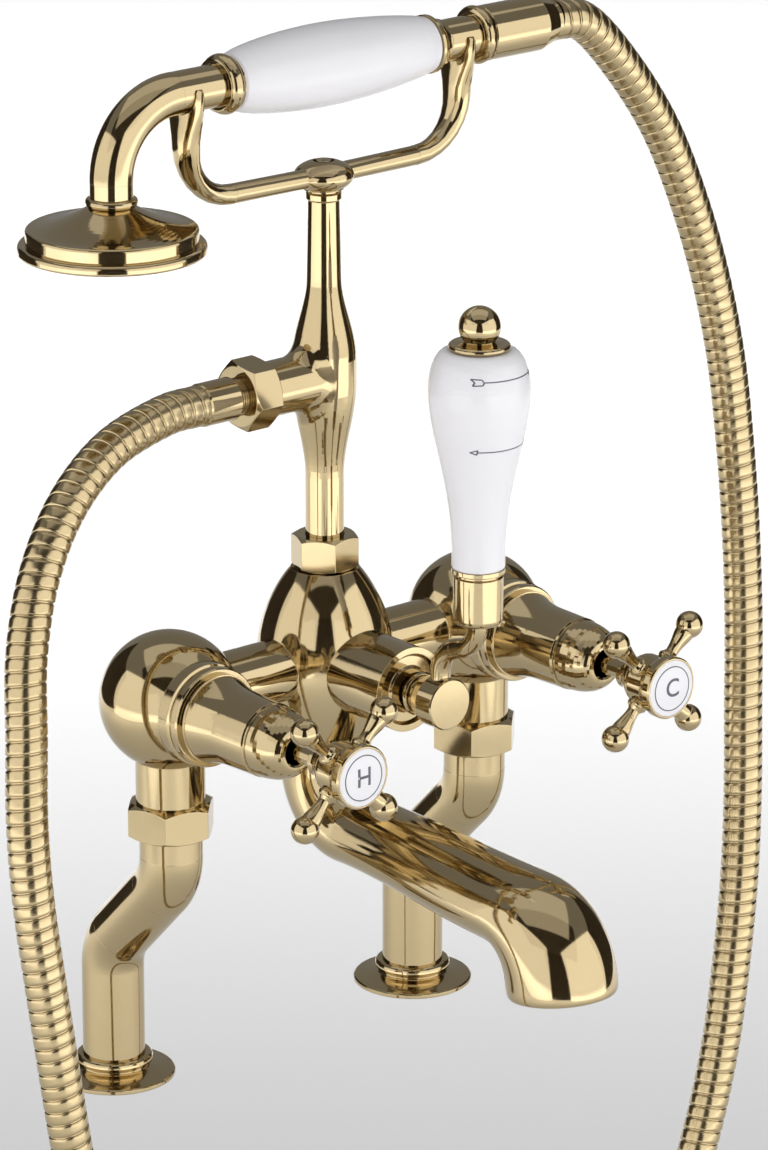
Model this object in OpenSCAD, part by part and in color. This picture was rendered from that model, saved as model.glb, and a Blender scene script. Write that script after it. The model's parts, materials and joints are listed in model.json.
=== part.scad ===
// Deck-mounted bath and shower mixer with cranked legs, cross-head valves, a diverter lever,
// a swept spout, a riser with a cradle, and a hand shower on a ribbed hose.
// Millimetres, +Z up, -Y towards the bather. The origin is on the deck, midway between the deck holes.

/* [Layout] */
// Distance between the two deck holes
tap_centres = 180; // [160:1:200]
// How far the legs bring the body forward of the deck holes
leg_crank = 44; // [34:1:54]
// Height of the cross pipe's axis above the deck
axis_height = 193; // [185:1:215]

/* [Body] */
// Diameter of the ball at each valve
ball_d = 63; // [58:0.5:68]
// Outside diameter of the cross pipe
pipe_d = 29; // [24:0.5:34]
// Largest diameter of the egg-shaped middle of the body
body_d = 62.5; // [58:0.5:67]
// Height of the body's top seat above the cross pipe's axis
body_rise = 43.5; // [40:0.5:47]
// Diameter of the body's top seat, under the riser nut
body_seat_d = 31; // [30:0.5:36]
// Depth of the body's lower seat below the cross pipe's axis
body_drop = 35; // [32:0.5:40]
// Reach of the diverter boss in front of the body's axis
boss_out = 59; // [52:0.5:64]
// Diameter of the diverter boss
boss_d = 39; // [37:0.5:44]
// Reach of the valve collars in front of the cross pipe's axis
collar_out = 33; // [30:0.5:38]
// Diameter of the valve collars
collar_d = 46.6; // [43:0.2:50]
// Diameter of the inlet stubs under the balls
stub_d = 31.3; // [29:0.1:34]
// Depth of the inlet stubs' shoulder below the cross pipe's axis
stub_drop = 47.5; // [42:0.5:54]
// Diameter of the drilled waterways
water_d = 15; // [12:0.5:17]

/* [Unions and legs] */
// Outside diameter of the union thread
union_thread_d = 26.4; // [25:0.1:27.5]
// Width of the union nuts across their flats
union_af = 36; // [34:0.5:40]
// Height of the union nuts
union_h = 16; // [14:0.5:20]
// Outside diameter of the leg tube
leg_d = 28.5; // [26:0.5:31]
// Bore of the leg tube
leg_bore_d = 19; // [15:0.5:20]
// Radius of the leg's bends, on its centre line
leg_bend_r = 26; // [22:1:30]
// Angle of the leg's crank from upright
leg_bend_a = 45; // [38:1:55]
// Wall radius of the threaded socket in the leg's foot
foot_socket_r = 12.06; // [11:0.01:12.4]
// Depth of the threaded socket in the leg's foot
foot_socket_len = 16; // [12:1:20]
// Diameter of the deck flanges
flange_d = 56; // [52:1:62]
// Thickness of the deck flanges at their rim
flange_rim_h = 2.4; // [1.5:0.1:3.5]
// Height of the deck flanges at the leg
flange_h = 11; // [9:0.5:14]

/* [Valves and cross handles] */
// Distance from the cross pipe's axis to the tip of the valve shroud
shroud_out = 90; // [86:0.5:96]
// Diameter of the shroud's foot
shroud_foot_d = 41; // [39:0.5:42.5]
// Diameter of the shroud's barrel
shroud_d = 34.4; // [33:0.2:36]
// Length of the shroud's domed nose
nose_len = 18; // [14:0.5:20]
// Diameter of the hole in the nose
nose_hole_d = 13; // [11:0.5:15]
// Diameter of the valve spindle
spindle_d = 8.8; // [8:0.1:9.6]
// Number of flats along the spindle's drive
spindle_flats = 12; // [8, 10, 12]
// Distance from the shroud's tip to the handle's front rim
rim_rise = 43.5; // [42:0.5:47]
// Distance from the handle's front rim back to the plane of its arms
arm_set_back = 12.5; // [11:0.5:14]
// Diameter of the handle's front rim
rim_d = 28.6; // [27.6:0.2:31]
// Diameter of the ceramic index
index_d = 26; // [23:0.1:26.6]
// Distance from the handle's axis to the middle of each tip ball
arm_reach = 31.3; // [29:0.1:36]
// Diameter of the tip balls
tip_d = 12.4; // [11:0.1:14]
// Diameter of an arm at its waist
arm_waist_d = 5.6; // [4.6:0.1:6.6]

/* [Diverter lever] */
// Distance from the body's axis to the flat front of the lever's hub
hub_out = 86.4; // [84:0.2:90]
// Diameter of the lever's hub
hub_d = 23.5; // [21:0.5:26]
// Diameter of the lever's bent neck
neck_d = 9; // [8:0.2:10]
// Distance from the body's axis to the upright lever's own axis
lever_out = 105; // [100:0.5:112]
// Height of the lever's ferrule above the hub's axis
ferrule_rise = 43; // [40:0.5:48]
// Length of the lever's ferrule
ferrule_len = 26; // [20:0.5:30]
// Diameter of the lever's ferrule
ferrule_d = 22; // [19:0.5:23]
// Length of the lever's ceramic grip
lever_len = 99; // [90:1:110]
// Diameter of the grip at its foot
lever_foot_d = 23.5; // [20:0.5:26]
// Largest diameter of the grip
lever_d = 45; // [40:0.2:48]
// Diameter of the disc under the finial
finial_disc_d = 27.4; // [24:0.2:31]
// Diameter of the finial's ball
finial_d = 18.6; // [16:0.2:22]
// Diameter of the rod through the grip
rod_d = 7; // [5.6:0.2:7.4]

/* [Spout] */
// Reach of the outlet's middle in front of the body's axis
spout_reach = 165; // [150:1:185]
// Depth of the spout's run below the cross pipe's axis
spout_drop = 76.5; // [73:0.5:82]
// Depth of the outlet below the cross pipe's axis
outlet_drop = 114; // [112:0.5:120]
// Diameter of the spout's inlet
spout_inlet_d = 42; // [39:0.5:43]
// Height of the flattened run
spout_run_h = 31; // [28:0.5:33]
// Diameter of the outlet
outlet_d = 50; // [46:0.5:53]
// Wall of the spout
spout_wall = 2.8; // [2:0.1:3.4]
// Radius of the spout's elbow, on its centre line
elbow_r = 29; // [27:0.5:32]
// Radius of the spout's tip bend, on its centre line
tip_r = 30; // [28.5:0.5:34]

/* [Riser] */
// Width of the riser nut across its flats
riser_af = 27; // [26:0.5:28]
// Height of the riser nut
riser_nut_h = 15.5; // [14.5:0.5:20]
// Diameter of the riser's lower column
riser_d = 17.5; // [16.2:0.1:18]
// Diameter of the riser's swelling at the tee
swell_d = 29; // [27:0.2:31]
// Height of the tee's axis above the body's seat
tee_rise = 89; // [84:0.5:96]
// Height of the riser's top above the body's seat
riser_rise = 175.5; // [166:0.5:190]
// Diameter of the riser's top
riser_top_d = 14.2; // [12.5:0.1:15]
// Diameter of the half-inch hose thread
hose_thread_d = 20.9; // [20.2:0.1:21.4]
// Reach of the tee's end from the riser's axis
tee_out = 40; // [37:0.5:46]
// Diameter of the tee's branch behind its nut
branch_d = 25; // [23:0.5:26.5]
// Width of the tee's hose nut across its flats
hose_nut_af = 28.5; // [27.5:0.5:31]
// Length of the tee's hose nut
hose_nut_len = 14.5; // [12:0.5:16]

/* [Cradle] */
// Distance between the middles of the two forks
fork_span = 155; // [148:1:162]
// Diameter of the cradle's bar
bar_d = 9; // [7.6:0.2:10]
// Thickness of an arm where it turns up
arm_t = 10; // [9:0.2:11]
// Width of an arm where it turns up
arm_w = 16; // [12:0.5:20]
// Diameter of the cradle's boss
boss_dome_d = 23; // [20:0.5:26]
// Height of the handset's axis above the bar's axis
fork_rise = 49.8; // [48:0.1:56]
// Width of a fork from front to back
fork_w = 25; // [24:0.5:28]
// Thickness of a fork
fork_t = 7; // [6:0.2:9]

/* [Handset] */
// Outside diameter of the handset's pipes
hand_pipe_d = 19; // [17.6:0.2:19.6]
// Bore of the handset's pipes
hand_bore_d = 11; // [8:0.5:12]
// Distance from the riser's axis to the rose's axis
rose_out = 118.5; // [112:0.5:128]
// Radius of the handset's elbow, on its centre line
hand_bend_r = 33.5; // [29:0.5:35]
// Depth of the pipe's end below the handset's axis
hand_drop = 40; // [37:0.5:46]
// Diameter of the rose's lower ring
rose_d = 82.4; // [76:0.2:90]
// Height of the rose's lower ring
rose_ring_h = 4.5; // [3.8:0.1:6]
// Height of the rose's upper bell
rose_bell_h = 16; // [13:0.5:19]
// Length of the ceramic grip
grip_len = 112; // [100:1:116]
// Largest diameter of the ceramic grip
grip_d = 37; // [33:0.5:41]
// Diameter of the ceramic grip at its ends
grip_end_d = 25.4; // [23:0.2:27]
// Width of each ferrule beside the grip
hand_ferrule_w = 8; // [7:0.5:9]
// Diameter of the collar before the hose sleeve
hand_collar_d = 26.6; // [25:0.2:28]
// Length of the hose sleeve
sleeve_len = 40; // [38:1:48]
// Diameter of the hose sleeve
sleeve_d = 25.2; // [24:0.2:26]

/* [Hose] */
// Diameter over the hose's ribs
hose_d = 18.5; // [15:0.5:19]
// Bore of the hose
hose_bore_d = 9; // [7:0.5:10]
// Ribs on each span of the hose's route
ribs_per_span = 5; // [3:1:5]

/* [Hidden] */
$fn = 96;

brass = "#c9ad74";
bright_brass = "#d8c08c";
ceramic = "#f4f2ee";
fibre = "#4a3f37";
rubber = "#26262a";

// Radial gap of a sliding or running fit
slip = 0.05;
// Gap between pieces that move past each other
run_gap = 0.3;
// Overlap that keeps a cut clear of the face it opens
over = 1;
// Thickness of a sealing washer
washer_h = 2;
// Thickness of a trapped collar inside a nut
collar_h = 3.5;
// How much fuller a tube is at its bends, in radius, and how far a straight runs into a bend
bend_swell = 0.04;
lap = 0.5;
// Length of the drive that seats in a hub
drive_len = 13;

ball_x = tap_centres / 2;
body_y = -leg_crank;

// Heights above the deck, up the stack that stands on the body
seat_z = axis_height + body_rise;
riser_top_z = seat_z + riser_rise;
bar_z = riser_top_z + 0.7 * bar_d;
hand_z = bar_z + fork_rise;
tee_z = seat_z + tee_rise;

// Lever heights above the hub's axis
grip_low = ferrule_rise + ferrule_len;
grip_high = grip_low + lever_len;

// Points of an arc from angle a0 to angle a1
function arc(c, r, a0, a1, n = 8) = [for (i = [0 : n])
    let (a = a0 + (a1 - a0) * i / n) [c[0] + r * cos(a), c[1] + r * sin(a)]];
// Points of a quarter-ellipse-like arc with radii rx and ry
function oval_arc(c, rx, ry, a0, a1, n = 12) = [for (i = [0 : n])
    let (a = a0 + (a1 - a0) * i / n) [c[0] + rx * cos(a), c[1] + ry * sin(a)]];
// Points that ease from one radius and height to another, level at both ends
function ease(r0, z0, r1, z1, n = 10) = [for (i = [0 : n])
    let (t = i / n) [r0 + (r1 - r0) * t * t * (3 - 2 * t), z0 + (z1 - z0) * t]];
// Points that flare from a wide start to a narrow end, steep first
function flare(r0, z0, r1, z1, n = 10) = [for (i = [0 : n])
    let (t = i / n) [r1 + (r0 - r1) * (1 - t) * (1 - t), z0 + (z1 - z0) * t]];

module front() rotate([90, 0, 0]) children();
module leftward() rotate([0, -90, 0]) children();
module rightward() rotate([0, 90, 0]) children();
// Draws in a plane seen from the left side: x forward, y up
module side_plane() rotate([90, 0, -90]) children();
// Draws in a plane seen from the front: x right, y up
module front_plane() rotate([90, 0, 0]) children();
module at_body() translate([0, body_y, axis_height]) children();
module at_valve(side) translate([side * ball_x, body_y, axis_height]) front() children();
module at_union(side) translate([side * ball_x, body_y, axis_height - stub_drop]) children();
module at_handset() translate([0, body_y, hand_z]) children();

module lathe(points) rotate_extrude() polygon(points);

module tube(d, bore, h) {
    difference() {
        cylinder(d = d, h = h);
        translate([0, 0, -over]) cylinder(d = bore, h = h + 2 * over);
    }
}

// A tube's bend about the drawing's own axis, from angle a0 to angle a1, a hair fuller than the straights
module bend(r, d, a0, a1) {
    rotate([0, 0, a0]) rotate_extrude(angle = a1 - a0) translate([r, 0]) circle(d = d + 2 * bend_swell);
}

// A straight length that runs up the drawing's y from a point, leaning a degrees towards x.
// Its ends reach back and on into the bends they meet.
module run(from, a, d, h, back = 0, on = 0) {
    translate([from[0], from[1], 0]) rotate([0, 0, -a]) rotate([-90, 0, 0])
        translate([0, 0, -back]) cylinder(d = d, h = h + back + on);
}

// A hexagon bar with turned, chamfered ends; the turned cone runs clear of the corners
module hex_bar(af, h, turn = 0, chamfer = 1.6) {
    corner_r = af / 2 / cos(30);
    face_r = 0.48 * af;
    clear_r = corner_r + 1;
    rise = chamfer * (clear_r - face_r) / (corner_r - face_r);
    intersection() {
        rotate([0, 0, turn]) cylinder(r = corner_r, h = h, $fn = 6);
        lathe([[0, 0], [face_r, 0], [clear_r, rise], [clear_r, h - rise], [face_r, h], [0, h]]);
    }
}

// The union nut's cavity and the parts trapped in it share these values
nut_fit = 0.2;
union_lip_h = 4;
union_neck_d = leg_bore_d + 1.4;
union_engage = union_h - union_lip_h - collar_h - washer_h - run_gap;
leg_top_z = axis_height - stub_drop - union_h - run_gap;
union_tail_len = 9;

// The egg's upper and lower halves are arcs that end at its two seats. Each arc's radius follows
// from how far it draws in over its height.
spout_seat_d = spout_inlet_d + 1;
egg_r = body_d / 2;
function arc_radius(rise, draw) = (rise * rise + draw * draw) / (2 * draw);
egg_up = arc_radius(body_rise, egg_r - body_seat_d / 2);
egg_down = arc_radius(body_drop, egg_r - spout_seat_d / 2);
nipple_d = spout_inlet_d - 2 * spout_wall - 6;
nipple_grip = 14;
riser_neck_len = 6.5;
seat_bore_d = 0.85 * water_d;
cross_bore_d = 0.7 * water_d;
core_bore_d = 0.94 * water_d;

// Valve bore in the body, and the cartridge that fills it
valve_seat = 12;
valve_bore_d = 24;
cartridge_hex_out = collar_out + 9;
cartridge_nose_out = collar_out + 27;

// Diverter bore in the body, and the gland and spool that fill it
spool_d = 24;
spool_back = 14;
gland_seat = boss_out - 4;
gland_thread_d = 30;
gland_nose_out = gland_seat + 12;
gland_nose_d = 20;
spool_stem_d = 15;
spool_drum_out = 30;
rim_wall = 3;

module valve_collar() {
    groove = 1.2;
    lathe([[0, 0], [collar_d / 2, 0], [collar_d / 2, collar_out - 6],
        [collar_d / 2 - groove, collar_out - 5.4],
        [collar_d / 2 - groove, collar_out - 4.2], [collar_d / 2 - groove / 2, collar_out - 3.6],
        [collar_d / 2 - groove / 2, collar_out - 0.8], [collar_d / 2 - groove, collar_out],
            [0, collar_out]]);
}

module body_shape() {
    at_body() {
        rotate_extrude() {
            intersection() {
                translate([egg_r - egg_up, 0]) circle(r = egg_up);
                square([egg_r, body_rise]);
            }
            intersection() {
                translate([egg_r - egg_down, 0]) circle(r = egg_down);
                translate([0, -body_drop]) square([egg_r, body_drop]);
            }
        }
        translate([-ball_x, 0, 0]) rightward() cylinder(d = pipe_d, h = tap_centres);
        front() cylinder(d = boss_d, h = boss_out);
        translate([0, 0, body_rise - over]) cylinder(d = hose_thread_d, h = riser_neck_len + over);
    }
    for (side = [-1, 1]) {
        translate([side * ball_x, body_y, axis_height]) sphere(d = ball_d);
        at_valve(side) valve_collar();
        at_union(side) {
            cylinder(d = stub_d, h = stub_drop);
            translate([0, 0, -union_engage]) cylinder(d = union_thread_d, h = union_engage + over);
        }
    }
}

module body_casting() {
    color(brass) difference() {
        body_shape();
        for (side = [-1, 1]) {
            at_valve(side) {
                translate([0, 0, valve_seat]) cylinder(d = valve_bore_d + 2 * slip, h = collar_out);
                translate([0, 0, -water_d / 3])
                    cylinder(d = seat_bore_d, h = water_d / 3 + valve_seat + over);
            }
            at_union(side) translate([0, 0, -union_engage - over])
                cylinder(d = water_d, h = stub_drop + union_engage + water_d / 2 + over);
        }
        at_body() {
            translate([-ball_x, 0, 0]) rightward() cylinder(d = cross_bore_d, h = tap_centres);
            translate([0, 0, -body_drop - over])
                cylinder(d = core_bore_d, h = body_drop + body_rise + riser_neck_len + 2 * over);
            translate([0, 0, -body_drop - over]) cylinder(d = nipple_d + 2 * slip, h = nipple_grip + over);
            front() {
                translate([0, 0, -spool_back - run_gap]) cylinder(d = spool_d + 2 * slip, h = boss_out);
                translate([0, 0, spool_drum_out + run_gap])
                    cylinder(d = gland_thread_d + 2 * slip, h = boss_out);
                translate([0, 0, gland_seat]) cylinder(d = boss_d - 2 * rim_wall, h = boss_out);
            }
        }
    }
}

module diverter_gland() {
    color(bright_brass) at_body() front() difference() {
        union() {
            translate([0, 0, spool_drum_out + 2 * run_gap])
                cylinder(d = gland_thread_d, h = gland_seat - spool_drum_out - 2 * run_gap);
            lathe([[0, gland_seat], [boss_d / 2 - rim_wall - run_gap, gland_seat],
                [boss_d / 2 - rim_wall - run_gap, gland_seat + 1.4],
                    [boss_d / 2 - rim_wall - 1.4, gland_seat + 2.4],
                [gland_nose_d / 2 + 1, gland_seat + 2.4], [gland_nose_d / 2, gland_seat + 3.4],
                [gland_nose_d / 2, gland_nose_out - 0.8], [gland_nose_d / 2 - 0.8, gland_nose_out],
                [0, gland_nose_out]]);
        }
        cylinder(d = spool_stem_d + 2 * slip, h = gland_nose_out + over);
    }
}

// The two seal grooves on the spool, given by their middles
o_ring_d = 2.3;
o_ring_r = spool_d / 2 - o_ring_d / 2 - slip;
o_ring_at = [-spool_back + 4, spool_drum_out - 4];
hub_back = gland_nose_out + run_gap;
drive_d = 12;

module diverter_spool() {
    color(bright_brass) at_body() front() difference() {
        union() {
            translate([0, 0, -spool_back]) cylinder(d = spool_d, h = spool_back + spool_drum_out);
            translate([0, 0, -spool_back]) cylinder(d = spool_stem_d, h = spool_back + hub_back);
            translate([0, 0, -spool_back]) cylinder(d = drive_d, h = spool_back + hub_back + drive_len);
        }
        for (z = o_ring_at) translate([0, 0, z - o_ring_d / 2 - slip])
            tube(spool_d + over, 2 * (o_ring_r - o_ring_d / 2 - slip), o_ring_d + 2 * slip);
        translate([0, 0, (o_ring_at[0] + o_ring_at[1]) / 2]) rotate([90, 0, 0])
            cylinder(d = water_d - 4, h = spool_d + over, center = true);
    }
}

module diverter_o_rings() {
    color(rubber) at_body() front() for (z = o_ring_at)
        translate([0, 0, z]) rotate_extrude() translate([o_ring_r, 0]) circle(d = o_ring_d);
}

// The lever's neck is two equal bends that carry it up and forward, from the hub to the ferrule
neck_from = (hub_back + hub_out) / 2 + 3;
neck_low = hub_d / 2 + 1.5;
neck_dx = lever_out - neck_from;
neck_dz = ferrule_rise - neck_low;
neck_a = 2 * atan(neck_dx / neck_dz) - 8;
neck_r = (neck_dz * sin(neck_a) - neck_dx * cos(neck_a)) / (2 - 2 * cos(neck_a));
neck_lean = (neck_dx * sin(neck_a) - neck_dz * (1 - cos(neck_a))) / (1 - cos(neck_a));
neck_grip = 6;

module lever_arm() {
    color(brass) at_body() difference() {
        union() {
            front() lathe([[0, hub_back], [spool_stem_d / 2 + 1, hub_back], [hub_d / 2, hub_back + 9],
                [hub_d / 2, hub_out - 0.6], [hub_d / 2 - 0.6, hub_out], [0, hub_out]]);
            side_plane() {
                run([neck_from, 0], 0, neck_d, neck_low, 0, lap);
                translate([neck_from + neck_r, neck_low, 0]) bend(neck_r, neck_d, 180 - neck_a, 180);
                run([neck_from + neck_r * (1 - cos(neck_a)), neck_low + neck_r * sin(neck_a)], neck_a,
                    neck_d,
                    neck_lean, lap, lap);
                translate([lever_out - neck_r, ferrule_rise, 0]) bend(neck_r, neck_d, -neck_a, 0);
                run([lever_out, ferrule_rise], 0, neck_d, neck_grip, lap);
            }
        }
        front() translate([0, 0, hub_back - over])
            cylinder(d = drive_d + 2 * slip, h = drive_len + run_gap + over);
    }
}

module at_lever() translate([0, body_y - lever_out, axis_height]) children();

module lever_ferrule() {
    color(bright_brass) at_lever() difference() {
        lathe(concat(
            [[0, ferrule_rise], [ferrule_d / 2 - 3, ferrule_rise]],
            arc([ferrule_d / 2 - 3, ferrule_rise + 3], 3, -90, 0, 5),
            [[ferrule_d / 2, grip_low - 4], [ferrule_d / 2 - 0.8, grip_low - 3.4],
                [ferrule_d / 2 - 0.8, grip_low - 2.6], [lever_foot_d / 2, grip_low - 2],
                    [lever_foot_d / 2, grip_low],
                [0, grip_low]]));
        translate([0, 0, ferrule_rise - over])
            cylinder(d = neck_d + 2 * slip, h = neck_grip + over + run_gap);
        translate([0, 0, ferrule_rise]) cylinder(d = rod_d + 2 * slip, h = ferrule_len + over);
    }
}

lever_shoulder = 9;
lever_top_d = finial_disc_d + 1;

module lever_grip() {
    widest = grip_high - lever_shoulder - 9;
    color(ceramic) at_lever() difference() {
        lathe(concat(
            [[0, grip_low], [lever_foot_d / 2 - 0.6, grip_low]],
            arc([lever_foot_d / 2 - 1, grip_low + 1], 1, -40, 0, 3),
            [for (i = [1 : 17]) let (t = i / 18)
                [lever_foot_d / 2 + (lever_d - lever_foot_d) / 2 * smooth_t(pow(t, 1.3)),
                    mix(grip_low + 1, widest, t)]],
            oval_arc([lever_top_d / 2, widest], (lever_d - lever_top_d) / 2, grip_high - widest, 0, 90, 10),
            [[0, grip_high]]));
        translate([0, 0, grip_low - over]) cylinder(d = rod_d + 2, h = lever_len + 2 * over);
    }
}

rod_grip = 8;
rod_low = ferrule_rise + neck_grip + run_gap + slip;

module lever_rod() {
    color(bright_brass) at_lever() translate([0, 0, rod_low])
        cylinder(d = rod_d, h = grip_high + rod_grip - rod_low);
}

finial_disc_h = 3;
finial_neck_h = 1.2;
finial_mid = grip_high + finial_disc_h + finial_d / 2 - 2.2;

module lever_finial() {
    color(bright_brass) at_lever() difference() {
        union() {
            lathe(concat(
                [[0, grip_high]],
                arc([finial_disc_d / 2 - finial_disc_h / 2, grip_high + finial_disc_h / 2],
                    finial_disc_h / 2, -90, 90, 8),
                flare(finial_disc_d / 2 - 3, grip_high + finial_disc_h, finial_d / 2 - 2.6,
                    grip_high + finial_disc_h + finial_neck_h, 6),
                [[0, grip_high + finial_disc_h + finial_neck_h]]));
            translate([0, 0, finial_mid]) sphere(d = finial_d);
        }
        translate([0, 0, grip_high - over]) cylinder(d = rod_d + 2 * slip, h = rod_grip + over + run_gap);
    }
}

module shroud(side) {
    foot_h = 2.6;
    groove = 0.8;
    wall = 2.4;
    nose_at = shroud_out - nose_len;
    barrel_r = shroud_d / 2;
    hole_r = nose_hole_d / 2;
    color(brass) at_valve(side) lathe(concat(
        [[barrel_r - wall, collar_out], [shroud_foot_d / 2, collar_out],
            [shroud_foot_d / 2, collar_out + foot_h]],
        flare(shroud_foot_d / 2 - 0.7, collar_out + foot_h, barrel_r, collar_out + foot_h + 17),
        [[barrel_r - 0.4, nose_at - 1.4], [barrel_r - 0.4 - groove, nose_at - 0.7],
            [barrel_r - 0.4 - groove, nose_at]],
        oval_arc([hole_r + 1, nose_at], barrel_r - hole_r - 1.9, nose_len, 4, 90),
        [[hole_r, shroud_out - 0.8], [hole_r, shroud_out - 5], [hole_r + 3, nose_at],
            [barrel_r - wall, nose_at - 4]]));
}

chamber_d = 19;
chamber_len = 10;

module cartridge(side) {
    color(bright_brass) at_valve(side) difference() {
        union() {
            translate([0, 0, valve_seat]) cylinder(d = valve_bore_d, h = collar_out - valve_seat);
            translate([0, 0, collar_out]) hex_bar(valve_bore_d, cartridge_hex_out - collar_out);
            translate([0, 0, collar_out]) cylinder(d = valve_bore_d - 8,
                h = cartridge_nose_out - collar_out);
        }
        translate([0, 0, valve_seat - over]) cylinder(d = chamber_d, h = chamber_len + over);
        cylinder(d = spindle_d + 2 * slip, h = cartridge_nose_out + over);
        translate([0, 0, valve_seat + chamber_len / 2]) for (a = [0, 90])
            rotate([90, 0, a]) cylinder(d = 6, h = valve_bore_d + over, center = true);
    }
}

// The handle stands off the shroud's tip, so its parts move together
rim_out = shroud_out + rim_rise;
arm_plane = rim_out - arm_set_back;
// The spindle's drive seats in the handle's hub, and the screw pulls the hub on to it
drive_out = arm_plane - 4;
screw_d = 4;
screw_seat = drive_out + 3;

module spindle(side) {
    color(bright_brass) at_valve(side) difference() {
        union() {
            translate([0, 0, valve_seat + run_gap]) cylinder(d = chamber_d - 2 * run_gap, h = 4);
            translate([0, 0, valve_seat + run_gap])
                cylinder(d = spindle_d, h = cartridge_nose_out - valve_seat);
            translate([0, 0, cartridge_nose_out]) cylinder(d = spindle_d, h = drive_out - cartridge_nose_out,
                $fn = spindle_flats);
        }
        translate([0, 0, drive_out - 12]) cylinder(d = screw_d + 2 * slip, h = 12 + over);
    }
}

module handle_arm() {
    bead = 13;
    waist = 17;
    waist_r = arm_waist_d / 2;
    lathe(concat(
        [[0, 0], [waist_r + 1.4, 0], [waist_r + 1.4, bead - 2]],
        arc([waist_r, bead], 1.9, -60, 60, 6),
        [[waist_r, waist - 1]],
        ease(waist_r, waist, tip_d / 2 * 0.72, arm_reach - tip_d * 0.3, 8),
        [[0, arm_reach - tip_d * 0.3]]));
    translate([0, 0, arm_reach]) sphere(d = tip_d);
}

index_h = 3.4;
hub_neck_d = 14;
hub_drum_d = 24;

module cross_handle(side) {
    hub_from = drive_out - 13.5;
    recess = rim_out - index_h;
    color(brass) at_valve(side) difference() {
        union() {
            lathe(concat(
                [[0, hub_from], [hub_neck_d / 2 - 0.8, hub_from], [hub_neck_d / 2, hub_from + 0.8],
                    [hub_neck_d / 2, hub_from + 3]],
                ease(hub_neck_d / 2, hub_from + 3, hub_drum_d / 2, arm_plane - 4, 8),
                [[hub_drum_d / 2, arm_plane + 4]],
                [[hub_drum_d / 2 + 0.6, arm_plane + 5], [rim_d / 2, rim_out - 4], [rim_d / 2, rim_out - 0.8],
                    [rim_d / 2 - 0.6, rim_out], [0, rim_out]]));
            translate([0, 0, arm_plane]) for (a = [45 : 90 : 315])
                rotate([0, 0, a]) rightward() handle_arm();
        }
        translate([0, 0, hub_from - over])
            cylinder(d = spindle_d + 2 * slip, h = drive_out + slip - hub_from + over);
        cylinder(d = screw_d + 0.4, h = rim_out);
        translate([0, 0, screw_seat]) cylinder(d = 2 * screw_d, h = rim_out);
        translate([0, 0, recess]) cylinder(d = index_d + 2 * slip, h = index_h + over);
    }
}

module index(side) {
    crown = 0.9;
    color(ceramic) at_valve(side) lathe(concat(
        [[0, rim_out - index_h], [index_d / 2, rim_out - index_h], [index_d / 2, rim_out - 0.2]],
        [for (i = [0 : 6]) let (t = i / 6)
            [(index_d / 2 - 0.5) * (1 - t), rim_out + crown * (1 - pow(1 - t, 2))]]));
}

module handle_screw(side) {
    color(bright_brass) at_valve(side) difference() {
        union() {
            translate([0, 0, drive_out - 10]) cylinder(d = screw_d, h = screw_seat - drive_out + 10 + over);
            translate([0, 0, screw_seat]) cylinder(d = 1.75 * screw_d, h = 3);
        }
        translate([-screw_d, -0.4, screw_seat + 2]) cube([2 * screw_d, 0.8, 2]);
    }
}

nipple_flange_h = 2;
spout_top = body_drop + nipple_flange_h;

module spout_nipple() {
    color(bright_brass) at_body() difference() {
        union() {
            translate([0, 0, -spout_top]) cylinder(d = spout_seat_d, h = nipple_flange_h);
            translate([0, 0, -body_drop]) cylinder(d = nipple_d, h = nipple_grip);
            translate([0, 0, -spout_top - 8]) cylinder(d = nipple_d, h = 8);
        }
        translate([0, 0, -spout_top - 8 - over]) cylinder(d = water_d, h = 8 + spout_top + 2 * over);
    }
}

// The spout's stations. Each holds its middle as forward and height, its lean from straight down,
// and its half width and half depth.
spout_sides = 36;
smooth_t = function (t) t * t * (3 - 2 * t);
mix = function (a, b, t) a + (b - a) * t;
elbow_low = spout_drop - elbow_r;
// The run falls and deepens a little towards the tip, and the outlet leans a little forward
run_fall = 5;
run_gain = 1.5;
tip_lean = 7;
tip_mid = [spout_reach - 3 - tip_r, -spout_drop - run_fall - tip_r];
tip_end = [tip_mid[0] + tip_r * cos(tip_lean), tip_mid[1] + tip_r * sin(tip_lean)];
tip_left = (outlet_drop + tip_end[1]) / cos(tip_lean);
function spout_stations(wall) = let (
    inlet = spout_inlet_d / 2 - wall,
    run_half = spout_run_h / 2 - wall,
    out = outlet_d / 2 - wall) concat(
    [[0, -spout_top, 0, inlet, inlet]],
    [for (i = [0 : 9]) let (t = i / 9, a = 90 * t)
        [elbow_r * (1 - cos(a)), -elbow_low - elbow_r * sin(a), a, inlet,
            mix(inlet, run_half, t * t * t)]],
    [for (i = [1 : 4]) let (t = i / 5)
        [mix(elbow_r, tip_mid[0], t), -spout_drop - run_fall * smooth_t(t), 90,
            mix(inlet, out, smooth_t(t)), run_half + run_gain * smooth_t(t)]],
    [for (i = [0 : 9]) let (t = i / 9, a = mix(90, tip_lean, t))
        [tip_mid[0] + tip_r * cos(a), tip_mid[1] + tip_r * sin(a), a, out,
            mix(run_half + run_gain, out, pow(smooth_t(t), 0.75))]],
    [[tip_end[0] + tip_left * sin(tip_lean), -outlet_drop, tip_lean, out, out]]);
function spout_ring(s) = [for (i = [0 : spout_sides - 1]) let (q = 360 * i / spout_sides)
    [s[3] * cos(q), -s[0] - s[4] * sin(q) * cos(s[2]), s[1] + s[4] * sin(q) * sin(s[2])]];

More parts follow.
